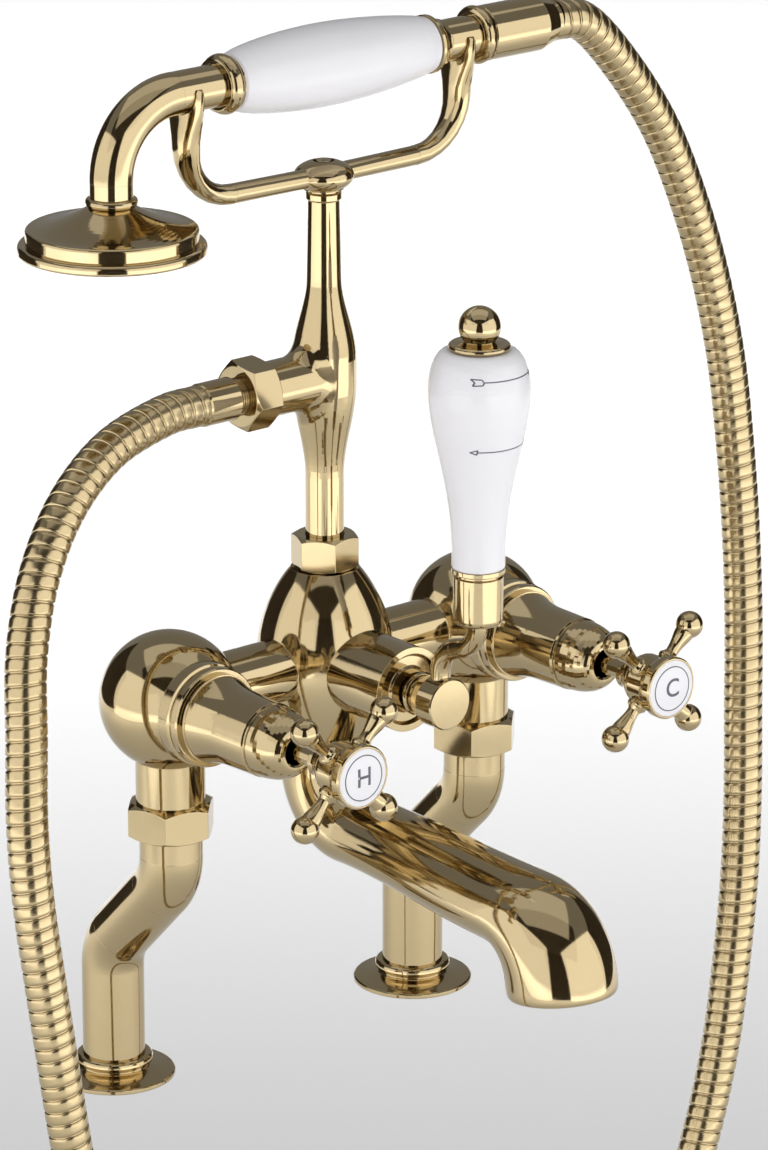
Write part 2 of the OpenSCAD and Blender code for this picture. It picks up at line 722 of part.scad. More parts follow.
// Faces of a pipe wall made of an outer and an inner run of rings, with n points in each ring
function wall_faces(outer, inner, n) = let (
    side = function (k, i) [k * n + i, k * n + (i + 1) % n, (k + 1) * n + (i + 1) % n, (k + 1) * n + i],
    cap = function (a, b, i) [a * n + i, a * n + (i + 1) % n, b * n + (i + 1) % n, b * n + i]) concat(
    [for (k = [0 : outer - 2], i = [0 : n - 1]) let (f = side(k, i))
        each [[f[0], f[1], f[2]], [f[0], f[2], f[3]]]],
    [for (k = [outer : outer + inner - 2], i = [0 : n - 1]) let (f = side(k, i))
        each [[f[0], f[2], f[1]], [f[0], f[3], f[2]]]],
    [for (i = [0 : n - 1]) let (f = cap(0, outer, i)) each [[f[0], f[2], f[1]], [f[0], f[3], f[2]]]],
    [for (i = [0 : n - 1]) let (f = cap(outer - 1, outer + inner - 1, i))
        each [[f[0], f[1], f[2]], [f[0], f[2], f[3]]]]);

module spout() {
    skin = spout_stations(0);
    bore = spout_stations(spout_wall);
    color(brass) at_body() polyhedron(
        points = [for (s = concat(skin, bore)) each spout_ring(s)],
        faces = wall_faces(len(skin), len(bore), spout_sides));
}

module union_nut(side) {
    color(bright_brass) at_union(side) translate([0, 0, -union_h]) difference() {
        hex_bar(union_af, union_h, 45, 2);
        translate([0, 0, union_lip_h]) cylinder(d = union_thread_d + 2 * nut_fit, h = union_h);
        translate([0, 0, -over]) cylinder(d = union_neck_d + 2 * nut_fit, h = union_h);
    }
}

module union_washer(side) {
    color(fibre) at_union(side) translate([0, 0, -union_engage - washer_h])
        tube(union_thread_d - 1, water_d, washer_h);
}

module union_tail(side) {
    top = -union_engage - washer_h;
    color(bright_brass) at_union(side) difference() {
        union() {
            translate([0, 0, top - collar_h]) cylinder(d = union_thread_d - 1, h = collar_h);
            translate([0, 0, -union_h - run_gap - union_tail_len])
                cylinder(d = union_neck_d, h = union_h + run_gap + union_tail_len + top);
        }
        translate([0, 0, -union_h - run_gap - union_tail_len - over])
            cylinder(d = water_d, h = union_h + union_tail_len + 2 * over);
    }
}

// The leg's crank: two equal bends with a straight between them
leg_lean = (leg_crank - 2 * leg_bend_r * (1 - cos(leg_bend_a))) / sin(leg_bend_a);
leg_fall = 2 * leg_bend_r * sin(leg_bend_a) + leg_lean * cos(leg_bend_a);
leg_head = union_tail_len + 1;
leg_low = leg_top_z - leg_head - leg_fall;

module leg_path(d, past) {
    low_mid = [leg_bend_r, leg_low];
    high_mid = [leg_crank - leg_bend_r, leg_low + leg_fall];
    run([0, -past], 0, d, leg_low + past, 0, lap);
    translate([low_mid[0], low_mid[1], 0]) bend(leg_bend_r, d, 180 - leg_bend_a, 180);
    run([leg_bend_r * (1 - cos(leg_bend_a)), leg_low + leg_bend_r * sin(leg_bend_a)], leg_bend_a, d,
        leg_lean,
        lap, lap);
    translate([high_mid[0], high_mid[1], 0]) bend(leg_bend_r, d, -leg_bend_a, 0);
    run([leg_crank, high_mid[1]], 0, d, leg_head + past, lap);
}

module leg(side) {
    color(brass) translate([side * ball_x, 0, 0]) difference() {
        side_plane() leg_path(leg_d, 0);
        side_plane() leg_path(leg_bore_d, over);
        translate([0, 0, -over]) cylinder(r = foot_socket_r, h = foot_socket_len + over);
        translate([0, body_y, leg_top_z - union_tail_len])
            cylinder(d = union_neck_d + 2 * slip, h = leg_head);
    }
}

module deck_flange(side) {
    bead_r = 2.6;
    bead_mid = leg_d / 2 + 1;
    color(brass) translate([side * ball_x, 0, 0]) difference() {
        lathe(concat(
            [[0, 0], [flange_d / 2 - 0.4, 0]],
            [[flange_d / 2, 0.4], [flange_d / 2, flange_rim_h - 0.6], [flange_d / 2 - 0.6, flange_rim_h]],
            flare(flange_d / 2 - 2, flange_rim_h + 0.2, bead_mid + 0.8, flange_h - 2 * bead_r, 10),
            arc([bead_mid, flange_h - bead_r], bead_r, -60, 90, 8),
            [[0, flange_h]]));
        translate([0, 0, -over]) cylinder(d = leg_d + 2 * slip, h = flange_h + 2 * over);
    }
}

// Inside the riser nut: the body's neck, a washer, and the riser's trapped collar
riser_foot_z = seat_z + riser_neck_len + washer_h;
riser_collar_d = hose_thread_d - 0.6;
riser_bore_d = 10;

module riser_shape() {
    column_top = tee_z - 45.5;
    swell_low = tee_z - 3.5;
    swell_high = tee_z + 9;
    taper_top = tee_z + 45.5;
    taper_d = riser_top_d + 1.4;
    neck_z = riser_top_z - 5;
    lathe(concat(
        [[0, riser_foot_z], [riser_collar_d / 2, riser_foot_z],
            [riser_collar_d / 2, riser_foot_z + collar_h],
            [riser_d / 2, riser_foot_z + collar_h]],
        ease(riser_d / 2, column_top, swell_d / 2, swell_low, 14),
        ease(swell_d / 2, swell_high, taper_d / 2, taper_top, 14),
        [[riser_top_d / 2, neck_z], [riser_top_d / 2 + 0.9, neck_z + 0.7],
            [riser_top_d / 2 + 0.9, neck_z + 3.2], [riser_top_d / 2, neck_z + 4],
            [riser_top_d / 2, riser_top_z], [0, riser_top_z]]));
}

module riser() {
    color(brass) translate([0, body_y, 0]) difference() {
        union() {
            riser_shape();
            translate([0, 0, tee_z]) leftward() lathe([[0, 0], [branch_d / 2, 0],
                [branch_d / 2, tee_nut_from - 1.2], [branch_d / 2 - 0.8, tee_nut_from - 0.4],
                [hose_thread_d / 2, tee_nut_from - 0.4], [hose_thread_d / 2, tee_out], [0, tee_out]]);
        }
        translate([0, 0, riser_foot_z - over]) cylinder(d = riser_bore_d, h = tee_z - riser_foot_z + 12);
        translate([0, 0, tee_z]) leftward() cylinder(d = riser_bore_d, h = tee_out + over);
        translate([0, 0, riser_top_z - 12]) cylinder(d = screw_d + 2 * slip, h = 12 + over);
    }
}

module riser_nut() {
    lip_at = riser_neck_len + washer_h + collar_h + run_gap;
    color(bright_brass) translate([0, body_y, seat_z]) difference() {
        hex_bar(riser_af, riser_nut_h, 8, 1.4);
        translate([0, 0, -over]) cylinder(d = hose_thread_d + 2 * nut_fit, h = lip_at + over);
        cylinder(d = riser_d + 2 * nut_fit, h = riser_nut_h + over);
    }
}

module riser_washer() {
    color(fibre) translate([0, body_y, seat_z + riser_neck_len])
        tube(hose_thread_d - 1, riser_bore_d + 1, washer_h);
}

// The cradle's bar turns up at both ends, and each end swells into a fork round the handset's pipe
bar_turn = 24;
fork_x = fork_span / 2;
saddle_r = hand_pipe_d / 2 + run_gap;
boss_h = 14;
horn_up = 2.5;
arm_sides = 16;
arm_from = fork_x - bar_turn;
saddle_low = fork_rise - saddle_r;
bar_r = bar_d / 2;

// Stations of an arm: x, height above the bar, lean, half thickness and half width
arm_stations = concat(
    [[arm_from - 1, 0, 0, bar_r + 0.12, bar_r + 0.12]],
    [for (i = [0 : 7]) let (t = i / 7, a = 90 * t)
        [arm_from + bar_turn * sin(a), bar_turn * (1 - cos(a)), a, mix(bar_r + 0.12, arm_t / 2, t * t),
            mix(bar_r + 0.12, arm_w / 2, pow(t, 1.6))]],
    [for (i = [1 : 5]) let (t = i / 5)
        [fork_x, mix(bar_turn, fork_rise - 3, t), 90, mix(arm_t, fork_t, smooth_t(t)) / 2,
            mix(arm_w, fork_w, smooth_t(t)) / 2]],
    [[fork_x, fork_rise + horn_up - 1.5, 90, fork_t / 2 - 0.3, fork_w / 2],
        [fork_x, fork_rise + horn_up, 90, fork_t / 2 - 1.4, fork_w / 2 - 0.8]]);
function arm_ring(s) = [for (i = [0 : arm_sides - 1]) let (q = 360 * i / arm_sides)
    [s[0] + s[3] * cos(q) * sin(s[2]), s[4] * sin(q), s[1] - s[3] * cos(q) * cos(s[2])]];
// Faces of a solid bar made of a run of rings with n points each
function bar_faces(rings, n) = concat(
    [for (k = [0 : rings - 2], i = [0 : n - 1]) let (a = k * n + i, b = k * n + (i + 1) % n)
        each [[a, b + n, b], [a, a + n, b + n]]],
    [for (i = [1 : n - 2]) [0, i, i + 1]],
    [for (i = [1 : n - 2]) let (e = (rings - 1) * n) [e, e + i + 1, e + i]]);

module cradle_arm() {
    polyhedron(points = [for (s = arm_stations) each arm_ring(s)],
        faces = bar_faces(len(arm_stations), arm_sides));
}

module cradle() {
    color(brass) translate([0, body_y, 0]) difference() {
        union() {
            translate([-arm_from, 0, bar_z]) rightward() cylinder(d = bar_d, h = 2 * arm_from);
            for (turn = [0, 180]) translate([0, 0, bar_z]) rotate([0, 0, turn]) cradle_arm();
            translate([0, 0, riser_top_z]) lathe(concat(
                [[0, 0], [riser_top_d / 2 + 0.6, 0]],
                oval_arc([0, boss_h * 0.45], boss_dome_d / 2, boss_h * 0.55, -50, 90, 14)));
        }
        translate([0, 0, riser_top_z - over]) cylinder(d = screw_d + 0.4, h = boss_h + 2 * over);
        translate([0, 0, riser_top_z + boss_h - 4]) cylinder(d = 2 * screw_d, h = 4 + over);
        for (s = [-1, 1]) translate([s * fork_x, 0, hand_z]) {
            rotate([0, 90, 0]) cylinder(r = saddle_r, h = 3 * fork_t, center = true);
            translate([-1.5 * fork_t, -saddle_r, 0]) cube([3 * fork_t, 2 * saddle_r, 3 * horn_up]);
        }
    }
}

module cradle_screw() {
    color(bright_brass) translate([0, body_y, riser_top_z]) difference() {
        union() {
            translate([0, 0, -10]) cylinder(d = screw_d, h = boss_h + 6 + over);
            translate([0, 0, boss_h - 4]) cylinder(d = 1.75 * screw_d, h = 3);
        }
        translate([0, 0, boss_h - 3]) cylinder(d = 2.5, h = 3, $fn = 6);
    }
}

module at_tee() translate([0, body_y, tee_z]) leftward() children();

// Inside the tee's hose nut: the tee's end, a washer, and the hose ferrule's trapped collar
tee_lip_out = tee_out + washer_h + collar_h + run_gap;
tee_nut_end = tee_lip_out + 4.2;
tee_nut_from = tee_nut_end - hose_nut_len;
// Length of the ferrule's neck that shows past the nut
tee_neck_len = 4;
ferrule_neck_d = hose_thread_d - 4.5;
ferrule_sleeve_d = hose_d + 1;
ferrule_bore_d = hose_bore_d;
tee_sleeve_len = 18;
hose_tee_x = tee_nut_end + tee_neck_len + tee_sleeve_len;

module tee_hose_nut() {
    color(bright_brass) at_tee() difference() {
        translate([0, 0, tee_nut_from]) hex_bar(hose_nut_af, hose_nut_len, 20, 1.4);
        translate([0, 0, tee_nut_from - over])
            cylinder(d = hose_thread_d + 2 * nut_fit, h = tee_lip_out - tee_nut_from + over);
        translate([0, 0, tee_nut_from]) cylinder(d = ferrule_neck_d + 2 * nut_fit, h = hose_nut_len + over);
    }
}

module tee_hose_washer() {
    color(fibre) at_tee() translate([0, 0, tee_out]) tube(hose_thread_d - 1, ferrule_bore_d + 1, washer_h);
}

module hose_tee_ferrule() {
    collar_at = tee_out + washer_h;
    sleeve_at = hose_tee_x - tee_sleeve_len;
    neck_r = ferrule_neck_d / 2;
    color(bright_brass) at_tee() difference() {
        lathe(concat(
            [[0, collar_at], [hose_thread_d / 2 - 0.5, collar_at],
                [hose_thread_d / 2 - 0.5, collar_at + collar_h], [neck_r, collar_at + collar_h]],
            [for (i = [0 : 2]) let (at = tee_nut_end + 0.2 + 1.3 * i)
                each [[neck_r, at], [neck_r - 0.7, at + 0.2], [neck_r - 0.7, at + 0.8], [neck_r, at + 1]]],
            [[neck_r, sleeve_at], [ferrule_sleeve_d / 2 - 0.6, sleeve_at],
                [ferrule_sleeve_d / 2, sleeve_at + 0.6], [ferrule_sleeve_d / 2, hose_tee_x - 1],
                [ferrule_sleeve_d / 2 - 0.4, hose_tee_x], [0, hose_tee_x]]));
        translate([0, 0, collar_at - over])
            cylinder(d = ferrule_bore_d, h = hose_tee_x - collar_at + 2 * over);
    }
}

// The handset, from the collar at its tail to the rose
grip_x = [-grip_len / 2 + 3, grip_len / 2 + 3];
tail_collar_w = 5;
rear_ferrule_x = grip_x[1] + hand_ferrule_w;
tail_collar_x = max(rear_ferrule_x, fork_x + fork_t / 2 + 1) + 4;
sleeve_x = tail_collar_x + tail_collar_w;
tail_x = sleeve_x + 12;
sleeve_end_x = sleeve_x + sleeve_len;
hose_hand_x = sleeve_end_x + 3;
front_ferrule_x = grip_x[0] - hand_ferrule_w;

module handset_tail() {
    color(brass) at_handset() rightward() difference() {
        union() {
            translate([0, 0, grip_x[1]]) cylinder(d = hand_pipe_d, h = tail_collar_x - grip_x[1]);
            translate([0, 0, tail_collar_x]) lathe(concat(
                [[0, 0], [hand_pipe_d / 2, 0]],
                arc([hand_collar_d / 2 - tail_collar_w / 2, tail_collar_w / 2], tail_collar_w / 2, -90,
                    90, 10),
                [[0, tail_collar_w]]));
            translate([0, 0, tail_collar_x]) cylinder(d = hose_thread_d, h = tail_x - tail_collar_x);
        }
        translate([0, 0, grip_x[1] - over]) cylinder(d = hand_bore_d, h = tail_x - grip_x[1] + 2 * over);
    }
}

// A trumpet that closes the grip's end on the pipe: wide at the grip, narrow away from it
module hand_trumpet() {
    difference() {
        lathe(concat(
            [[0, 0], [grip_end_d / 2 + 0.6, 0], [grip_end_d / 2 + 0.6, 1.6]],
            flare(grip_end_d / 2 + 0.2, 1.8, hand_pipe_d / 2 + 0.9, hand_ferrule_w, 8),
            [[0, hand_ferrule_w]]));
        translate([0, 0, -over]) cylinder(d = hand_pipe_d + 2 * slip, h = hand_ferrule_w + 2 * over);
    }
}

module handset_rear_ferrule() {
    color(bright_brass) at_handset() rightward() translate([0, 0, grip_x[1]]) hand_trumpet();
}

// A round collar between the grip and the elbow
module handset_front_ferrule() {
    bead = hand_ferrule_w / 2;
    color(bright_brass) at_handset() leftward() translate([0, 0, -grip_x[0]]) difference() {
        lathe(concat(
            [[0, 0], [grip_end_d / 2 - 0.8, 0]],
            arc([grip_end_d / 2 + 0.8 - bead, bead], bead, -70, 70, 10),
            [[grip_end_d / 2 - 0.8, hand_ferrule_w], [0, hand_ferrule_w]]));
        translate([0, 0, -over]) cylinder(d = hand_pipe_d + 2 * slip, h = hand_ferrule_w + 2 * over);
    }
}

hand_tube_d = hand_bore_d - 2 * slip;
hand_tube_grip = 8;

module handset_grip() {
    color(ceramic) at_handset() rightward() difference() {
        lathe(concat(
            [[0, grip_x[0]], [grip_end_d / 2 - 0.8, grip_x[0]]],
            [for (i = [0 : 20]) let (t = i / 20)
                [grip_end_d / 2 + (grip_d - grip_end_d) / 2 * pow(sin(180 * pow(t, 0.88)), 0.8),
                mix(grip_x[0] + 0.8, grip_x[1] - 0.8, t)]],
            [[grip_end_d / 2 - 0.8, grip_x[1]], [0, grip_x[1]]]));
        translate([0, 0, grip_x[0] - over]) cylinder(d = hand_tube_d + 2, h = grip_len + 2 * over);
    }
}

module handset_tube() {
    color(bright_brass) at_handset() rightward() translate([0, 0, grip_x[0] - hand_tube_grip])
        tube(hand_tube_d, hand_tube_d - 2.4, grip_len + 2 * hand_tube_grip);
}

module elbow_path(d, past) {
    translate([-rose_out + hand_bend_r, -hand_bend_r, 0]) bend(hand_bend_r, d, 90, 180);
    run([-rose_out, -hand_drop - past], 0, d, hand_drop - hand_bend_r + past, 0, lap);
    run([-rose_out + hand_bend_r, 0], 90, d, grip_x[0] + rose_out - hand_bend_r + past, lap);
}

module handset_elbow() {
    color(brass) at_handset() front_plane() difference() {
        elbow_path(hand_pipe_d, 0);
        elbow_path(hand_bore_d, over);
    }
}

// The rose hangs from the elbow's end
module at_rose() translate([-rose_out, body_y, hand_z - hand_drop]) children();
rose_collar_h = 4.2;
rose_collar_d = hand_pipe_d + 4;
rose_bell_d = rose_d - 7;
rose_low = rose_collar_h + rose_bell_h + rose_ring_h;

module rose_collar() {
    color(bright_brass) at_rose() translate([0, 0, -rose_collar_h]) difference() {
        lathe(concat([[0, 0]], arc([rose_collar_d / 2 - rose_collar_h / 2, rose_collar_h / 2],
            rose_collar_h / 2, -90, 90, 10),
            [[0, rose_collar_h]]));
        translate([0, 0, -over]) cylinder(d = hand_bore_d, h = rose_collar_h + 2 * over);
    }
}

rose_wall = 2;

// The bell's drop below the collar at a share t of its width: steep by the neck, flat at the edge
bell_band_h = 6.5;
function bell_drop(t) = (rose_bell_h - bell_band_h) * (1 - pow(1 - t, 1.6));

module rose_bell() {
    neck_r = rose_collar_d / 2 - 1.4;
    low = -rose_collar_h - rose_bell_h;
    color(brass) at_rose() lathe(concat(
        [[hand_bore_d / 2, -rose_collar_h]],
        [for (i = [0 : 14]) let (t = i / 14)
            [mix(neck_r, rose_bell_d / 2 - 1.5, t), -rose_collar_h - bell_drop(t)]],
        arc([rose_bell_d / 2 - 1.5, low + bell_band_h - 1.5], 1.5, 70, 0, 4),
        [[rose_bell_d / 2, low], [rose_bell_d / 2 - rose_wall, low],
            [rose_bell_d / 2 - rose_wall, low + bell_band_h - 2.5]],
        [for (i = [10 : -1 : 0]) let (t = i / 10)
            [mix(hand_bore_d / 2, rose_bell_d / 2 - 2 * rose_wall, t),
                -rose_collar_h - rose_wall - bell_drop(t)]]));
}

face_h = 2;

module rose_ring() {
    high = -rose_collar_h - rose_bell_h;
    color(bright_brass) at_rose() lathe(concat(
        [[rose_bell_d / 2 - rose_wall - 2, -rose_low]],
        arc([rose_d / 2 - 1, -rose_low + 1], 1, -90, 0, 4),
        arc([rose_d / 2 - 2, high - 2], 2, 0, 90, 6),
        [[rose_bell_d / 2 - rose_wall, high], [rose_bell_d / 2 - rose_wall, -rose_low + face_h],
            [rose_bell_d / 2 - rose_wall - 2, -rose_low + face_h]]));
}

// The spray plate rests on the ring's inner ledge
module rose_face() {
    spray_d = 1.6;
    rings = 4;
    face_r = rose_bell_d / 2 - rose_wall - slip;
    color(bright_brass) at_rose() translate([0, 0, -rose_low + face_h]) difference() {
        cylinder(r = face_r, h = face_h);
        for (k = [1 : rings], i = [0 : 6 * k - 1])
            rotate([0, 0, 360 * i / (6 * k)]) translate([k * (face_r - 6) / rings, 0, -over])
                cylinder(d = spray_d, h = face_h + 2 * over, $fn = 16);
    }
}

// The hose's fittings at the handset
head_neck_d = ferrule_neck_d;

module hose_sleeve_washer() {
    color(fibre) at_handset() rightward() translate([0, 0, tail_x])
        tube(hose_thread_d - 1, hand_bore_d, washer_h);
}

module hose_hand_ferrule() {
    collar_at = tail_x + washer_h;
    color(bright_brass) at_handset() rightward() difference() {
        lathe([[0, collar_at], [hose_thread_d / 2 - 0.5, collar_at],
            [hose_thread_d / 2 - 0.5, collar_at + collar_h],
            [head_neck_d / 2, collar_at + collar_h], [head_neck_d / 2, sleeve_end_x + run_gap],
            [hose_d / 2 + 0.6, sleeve_end_x + run_gap], [hose_d / 2 + 0.6, hose_hand_x - 0.6],
            [hose_d / 2, hose_hand_x], [0, hose_hand_x]]);
        translate([0, 0, collar_at - over])
            cylinder(d = hose_bore_d, h = hose_hand_x - collar_at + 2 * over);
    }
}

module hose_sleeve() {
    lip_at = tail_x + washer_h + collar_h + run_gap;
    color(bright_brass) at_handset() rightward() difference() {
        lathe([[0, sleeve_x + run_gap], [sleeve_d / 2 - 0.5, sleeve_x + run_gap],
            [sleeve_d / 2, sleeve_x + run_gap + 0.5],
            [sleeve_d / 2, sleeve_end_x - 8], [hose_d / 2 + 1, sleeve_end_x], [0, sleeve_end_x]]);
        translate([0, 0, sleeve_x]) cylinder(d = hose_thread_d + 2 * nut_fit, h = lip_at - sleeve_x);
        translate([0, 0, sleeve_x]) cylinder(d = head_neck_d + 2 * nut_fit, h = sleeve_len + over);
    }
}

// The hose's route: from the tee, down in a hanging loop in front of the deck, and up to the handset.
// Its first and last points follow the fittings, and the rest were chosen along the hanging loop.
hose_route = concat(
    [[-hose_tee_x, body_y, tee_z], [-hose_tee_x - 20, body_y, tee_z - 1]],
    [
        [-124, -47, 316], [-152, -53, 298], [-173, -60, 272], [-186, -67, 240], [-192, -74, 206],
        [-197, -80, 170], [-198, -85, 134], [-196, -90, 97], [-193, -94, 60], [-189, -97, 23],
        [-183, -99, -14], [-172, -100, -50], [-156, -100, -85], [-134, -100, -116], [-106, -100, -142],
        [-72, -100, -162], [-35, -100, -175], [5, -100, -181], [45, -100, -180], [84, -100, -172],
        [120, -100, -157], [151, -99, -135], [176, -98, -106], [192, -96, -72], [205, -93, -35],
        [214, -90, 4], [222, -86, 44], [228, -81, 84], [232, -76, 125], [236, -71, 166],
        [238, -66, 208], [237, -62, 250], [234, -58, 292], [227, -54, 332], [215, -51, 371],
        [199, -48, 408], [177, -46, 440]
    ],
    [[hose_hand_x + 20, body_y, hand_z - 4], [hose_hand_x + run_gap, body_y, hand_z]]);

// A smooth curve through the route's points, at span k and share t
function route_point(k, t) = let (
    last = len(hose_route) - 1,
    p1 = hose_route[k],
    p2 = hose_route[k + 1],
    p0 = k > 0 ? hose_route[k - 1] : 2 * p1 - p2,
    p3 = k < last - 1 ? hose_route[k + 2] : 2 * p2 - p1)
    0.5 * (2 * p1 + (p2 - p0) * t + (2 * p0 - 5 * p1 + 4 * p2 - p3) * t * t
        + (3 * p1 - p0 - 3 * p2 + p3) * t * t * t);
function unit(v) = v / norm(v);

hose_sides = 8;
hose_spans = len(hose_route) - 1;
hose_steps = 2 * ribs_per_span;
function hose_at(i) = let (k = min(floor(i / hose_steps), hose_spans - 1))
    route_point(k, i / hose_steps - k);
function hose_heading(i) = i <= 0 ? [-1, 0, 0]
    : i >= hose_spans * hose_steps ? [-1, 0, 0]
    : unit(hose_at(i + 1) - hose_at(i - 1));
// A ring of the hose, set square to its heading, with its first corner towards the bather
function hose_ring(i, r) = let (
    p = hose_at(i),
    h = hose_heading(i),
    b = unit(cross(h, [0, 1, 0])),
    n = cross(b, h))
    [for (j = [0 : hose_sides - 1]) let (q = 360 * j / hose_sides) p + r * (cos(q) * n + sin(q) * b)];

module hose() {
    steps = hose_spans * hose_steps;
    groove_r = hose_d / 2 - 1.2;
    bore_steps = hose_steps / 2;
    bore_rings = [for (i = [0 : bore_steps : steps]) i];
    color(bright_brass) polyhedron(
        points = concat(
            [for (i = [0 : steps]) each hose_ring(i, i % 2 == 0 ? groove_r : hose_d / 2)],
            [for (i = bore_rings) each hose_ring(i, hose_bore_d / 2)]),
        faces = wall_faces(steps + 1, len(bore_rings), hose_sides));
}

module hot_shroud() { shroud(-1); }
module cold_shroud() { shroud(1); }
module hot_cartridge() { cartridge(-1); }
module cold_cartridge() { cartridge(1); }
module hot_spindle() { spindle(-1); }
module cold_spindle() { spindle(1); }
module hot_cross_handle() { cross_handle(-1); }
module cold_cross_handle() { cross_handle(1); }
module hot_index() { index(-1); }
module cold_index() { index(1); }
module hot_handle_screw() { handle_screw(-1); }
module cold_handle_screw() { handle_screw(1); }
module left_union_nut() { union_nut(-1); }
module right_union_nut() { union_nut(1); }
module left_union_washer() { union_washer(-1); }
module right_union_washer() { union_washer(1); }
module left_union_tail() { union_tail(-1); }
module right_union_tail() { union_tail(1); }
module left_leg() { leg(-1); }
module right_leg() { leg(1); }
module left_deck_flange() { deck_flange(-1); }
module right_deck_flange() { deck_flange(1); }

body_casting();
diverter_gland();
diverter_spool();
diverter_o_rings();
lever_arm();
lever_ferrule();
lever_grip();
lever_rod();
lever_finial();
hot_shroud();
cold_shroud();
hot_cartridge();
cold_cartridge();
hot_spindle();
cold_spindle();
hot_cross_handle();
cold_cross_handle();
hot_index();
cold_index();
hot_handle_screw();
cold_handle_screw();
spout_nipple();
spout();
left_union_nut();
right_union_nut();
left_union_washer();
right_union_washer();
left_union_tail();
right_union_tail();
left_leg();
right_leg();
left_deck_flange();
right_deck_flange();
riser();
riser_nut();
riser_washer();
cradle();
cradle_screw();
tee_hose_nut();
tee_hose_washer();
hose_tee_ferrule();
hose();
hose_hand_ferrule();
hose_sleeve();
hose_sleeve_washer();
handset_tail();
handset_rear_ferrule();
handset_grip();
handset_tube();
handset_front_ferrule();
handset_elbow();
rose_collar();
rose_bell();
rose_ring();
rose_face();
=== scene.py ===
"""The looks of a bath shower mixer in polished brass, with white ceramic and a ribbed hose."""

import json
import math

import bpy
from bpy.props import FloatProperty, FloatVectorProperty, IntProperty, PointerProperty
from mathutils import Euler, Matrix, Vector

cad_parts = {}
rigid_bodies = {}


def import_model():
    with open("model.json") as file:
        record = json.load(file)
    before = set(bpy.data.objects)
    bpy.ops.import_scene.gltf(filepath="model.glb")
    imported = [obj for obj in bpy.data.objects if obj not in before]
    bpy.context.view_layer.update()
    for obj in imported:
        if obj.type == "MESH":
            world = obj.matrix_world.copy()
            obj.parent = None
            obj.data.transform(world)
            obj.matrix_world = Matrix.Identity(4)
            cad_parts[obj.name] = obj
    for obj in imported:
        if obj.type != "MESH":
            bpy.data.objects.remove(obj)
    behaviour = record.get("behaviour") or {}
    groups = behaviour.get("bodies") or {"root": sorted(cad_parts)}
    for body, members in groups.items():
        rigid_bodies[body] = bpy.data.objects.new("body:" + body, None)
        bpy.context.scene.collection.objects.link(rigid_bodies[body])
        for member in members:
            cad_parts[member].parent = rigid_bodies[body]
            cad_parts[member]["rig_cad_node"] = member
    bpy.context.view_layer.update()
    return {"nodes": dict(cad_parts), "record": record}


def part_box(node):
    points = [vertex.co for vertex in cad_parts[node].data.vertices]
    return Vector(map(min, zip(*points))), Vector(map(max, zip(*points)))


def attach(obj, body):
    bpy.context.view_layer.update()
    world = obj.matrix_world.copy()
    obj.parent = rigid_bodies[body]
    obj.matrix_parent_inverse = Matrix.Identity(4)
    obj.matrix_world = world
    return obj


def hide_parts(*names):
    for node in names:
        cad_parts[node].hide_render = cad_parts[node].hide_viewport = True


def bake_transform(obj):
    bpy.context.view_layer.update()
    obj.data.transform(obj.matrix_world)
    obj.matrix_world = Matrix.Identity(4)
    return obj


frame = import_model()

bl_info = {
    "name": "Bath shower mixer",
    "version": (1, 0, 0),
    "blender": (4, 5, 0),
    "location": "View3D > Sidebar > Mixer",
    "description": "Polishes the mixer's brass, glazes its ceramic and makes its hose, marks and studio",
    "category": "Object",
}

# The view: where the lens looks, from how far, and the degrees of turn and rise it looks from
LOOK_AT = Vector((0.03495, -0.044, 0.224634))
LOOK_FROM = 2.8
LOOK_TURN, LOOK_RISE = -40.311, 18.137
# The camera's sensor in millimetres, and the nearest and farthest that it sees in metres
SENSOR_WIDTH = 36
SEEN_FROM, SEEN_TO = 0.05, 60

# The soft lamp panels: degrees round from the camera and of rise, metres away, width and height
SIDE_PANEL = (57, 9, 1.9, 3.3, 2.2)
CEILING_PANEL = (0, 86, 2.2, 3.0, 3.0)
# The lamps over the floor: degrees round from the camera, and their metres out and up, width and depth
FLOOR_LAMP_TURNS = (0, 90, 180, 270)
FLOOR_LAMP = (3.6, 1.9, 7.0, 3.6)
# Their light keeps within this angle, so that none of it falls straight on the mixer
FLOOR_LAMP_SPREAD = math.radians(70)
# The dark cards that give the brass its lines, placed and sized as the panels are
DARK_CARDS = {
    "Front_card": (0, 8, 2.9, 1.9, 2.4),
    "Upper_card": (0, 54, 2.6, 4.6, 2.6),
    "Left_card": (-121, 8, 2.9, 3.2, 2.4),
    "Right_card": (121, 8, 2.9, 3.2, 2.4),
}
# The floor's side in metres and its colour, and the roughness of the floor and the cards
FLOOR_SIZE = 40
FLOOR_COLOUR = (0.86, 0.86, 0.86)
STAGE_ROUGHNESS = 0.9

# The roughness of each brass where it is clean and where it is wiped, and how far its edges are rounded
POLISH, HOSE_POLISH = (0.06, 0.10), (0.17, 0.25)
ROUNDED_EDGE = 0.0004
# Stands in for the colours that each metal sets
UNSET = (1, 1, 1, 1)

# Points nearer than these are one point, in a new piece and in a copy of a solid
MERGE, COPY_MERGE = 1e-6, 2e-6
# Edges that bend by less than these degrees are drawn smooth
HOSE_SMOOTH, FILLET_SMOOTH, SPOUT_SMOOTH, CRADLE_SMOOTH, MARK_SMOOTH = 40, 50, 40, 35, 40

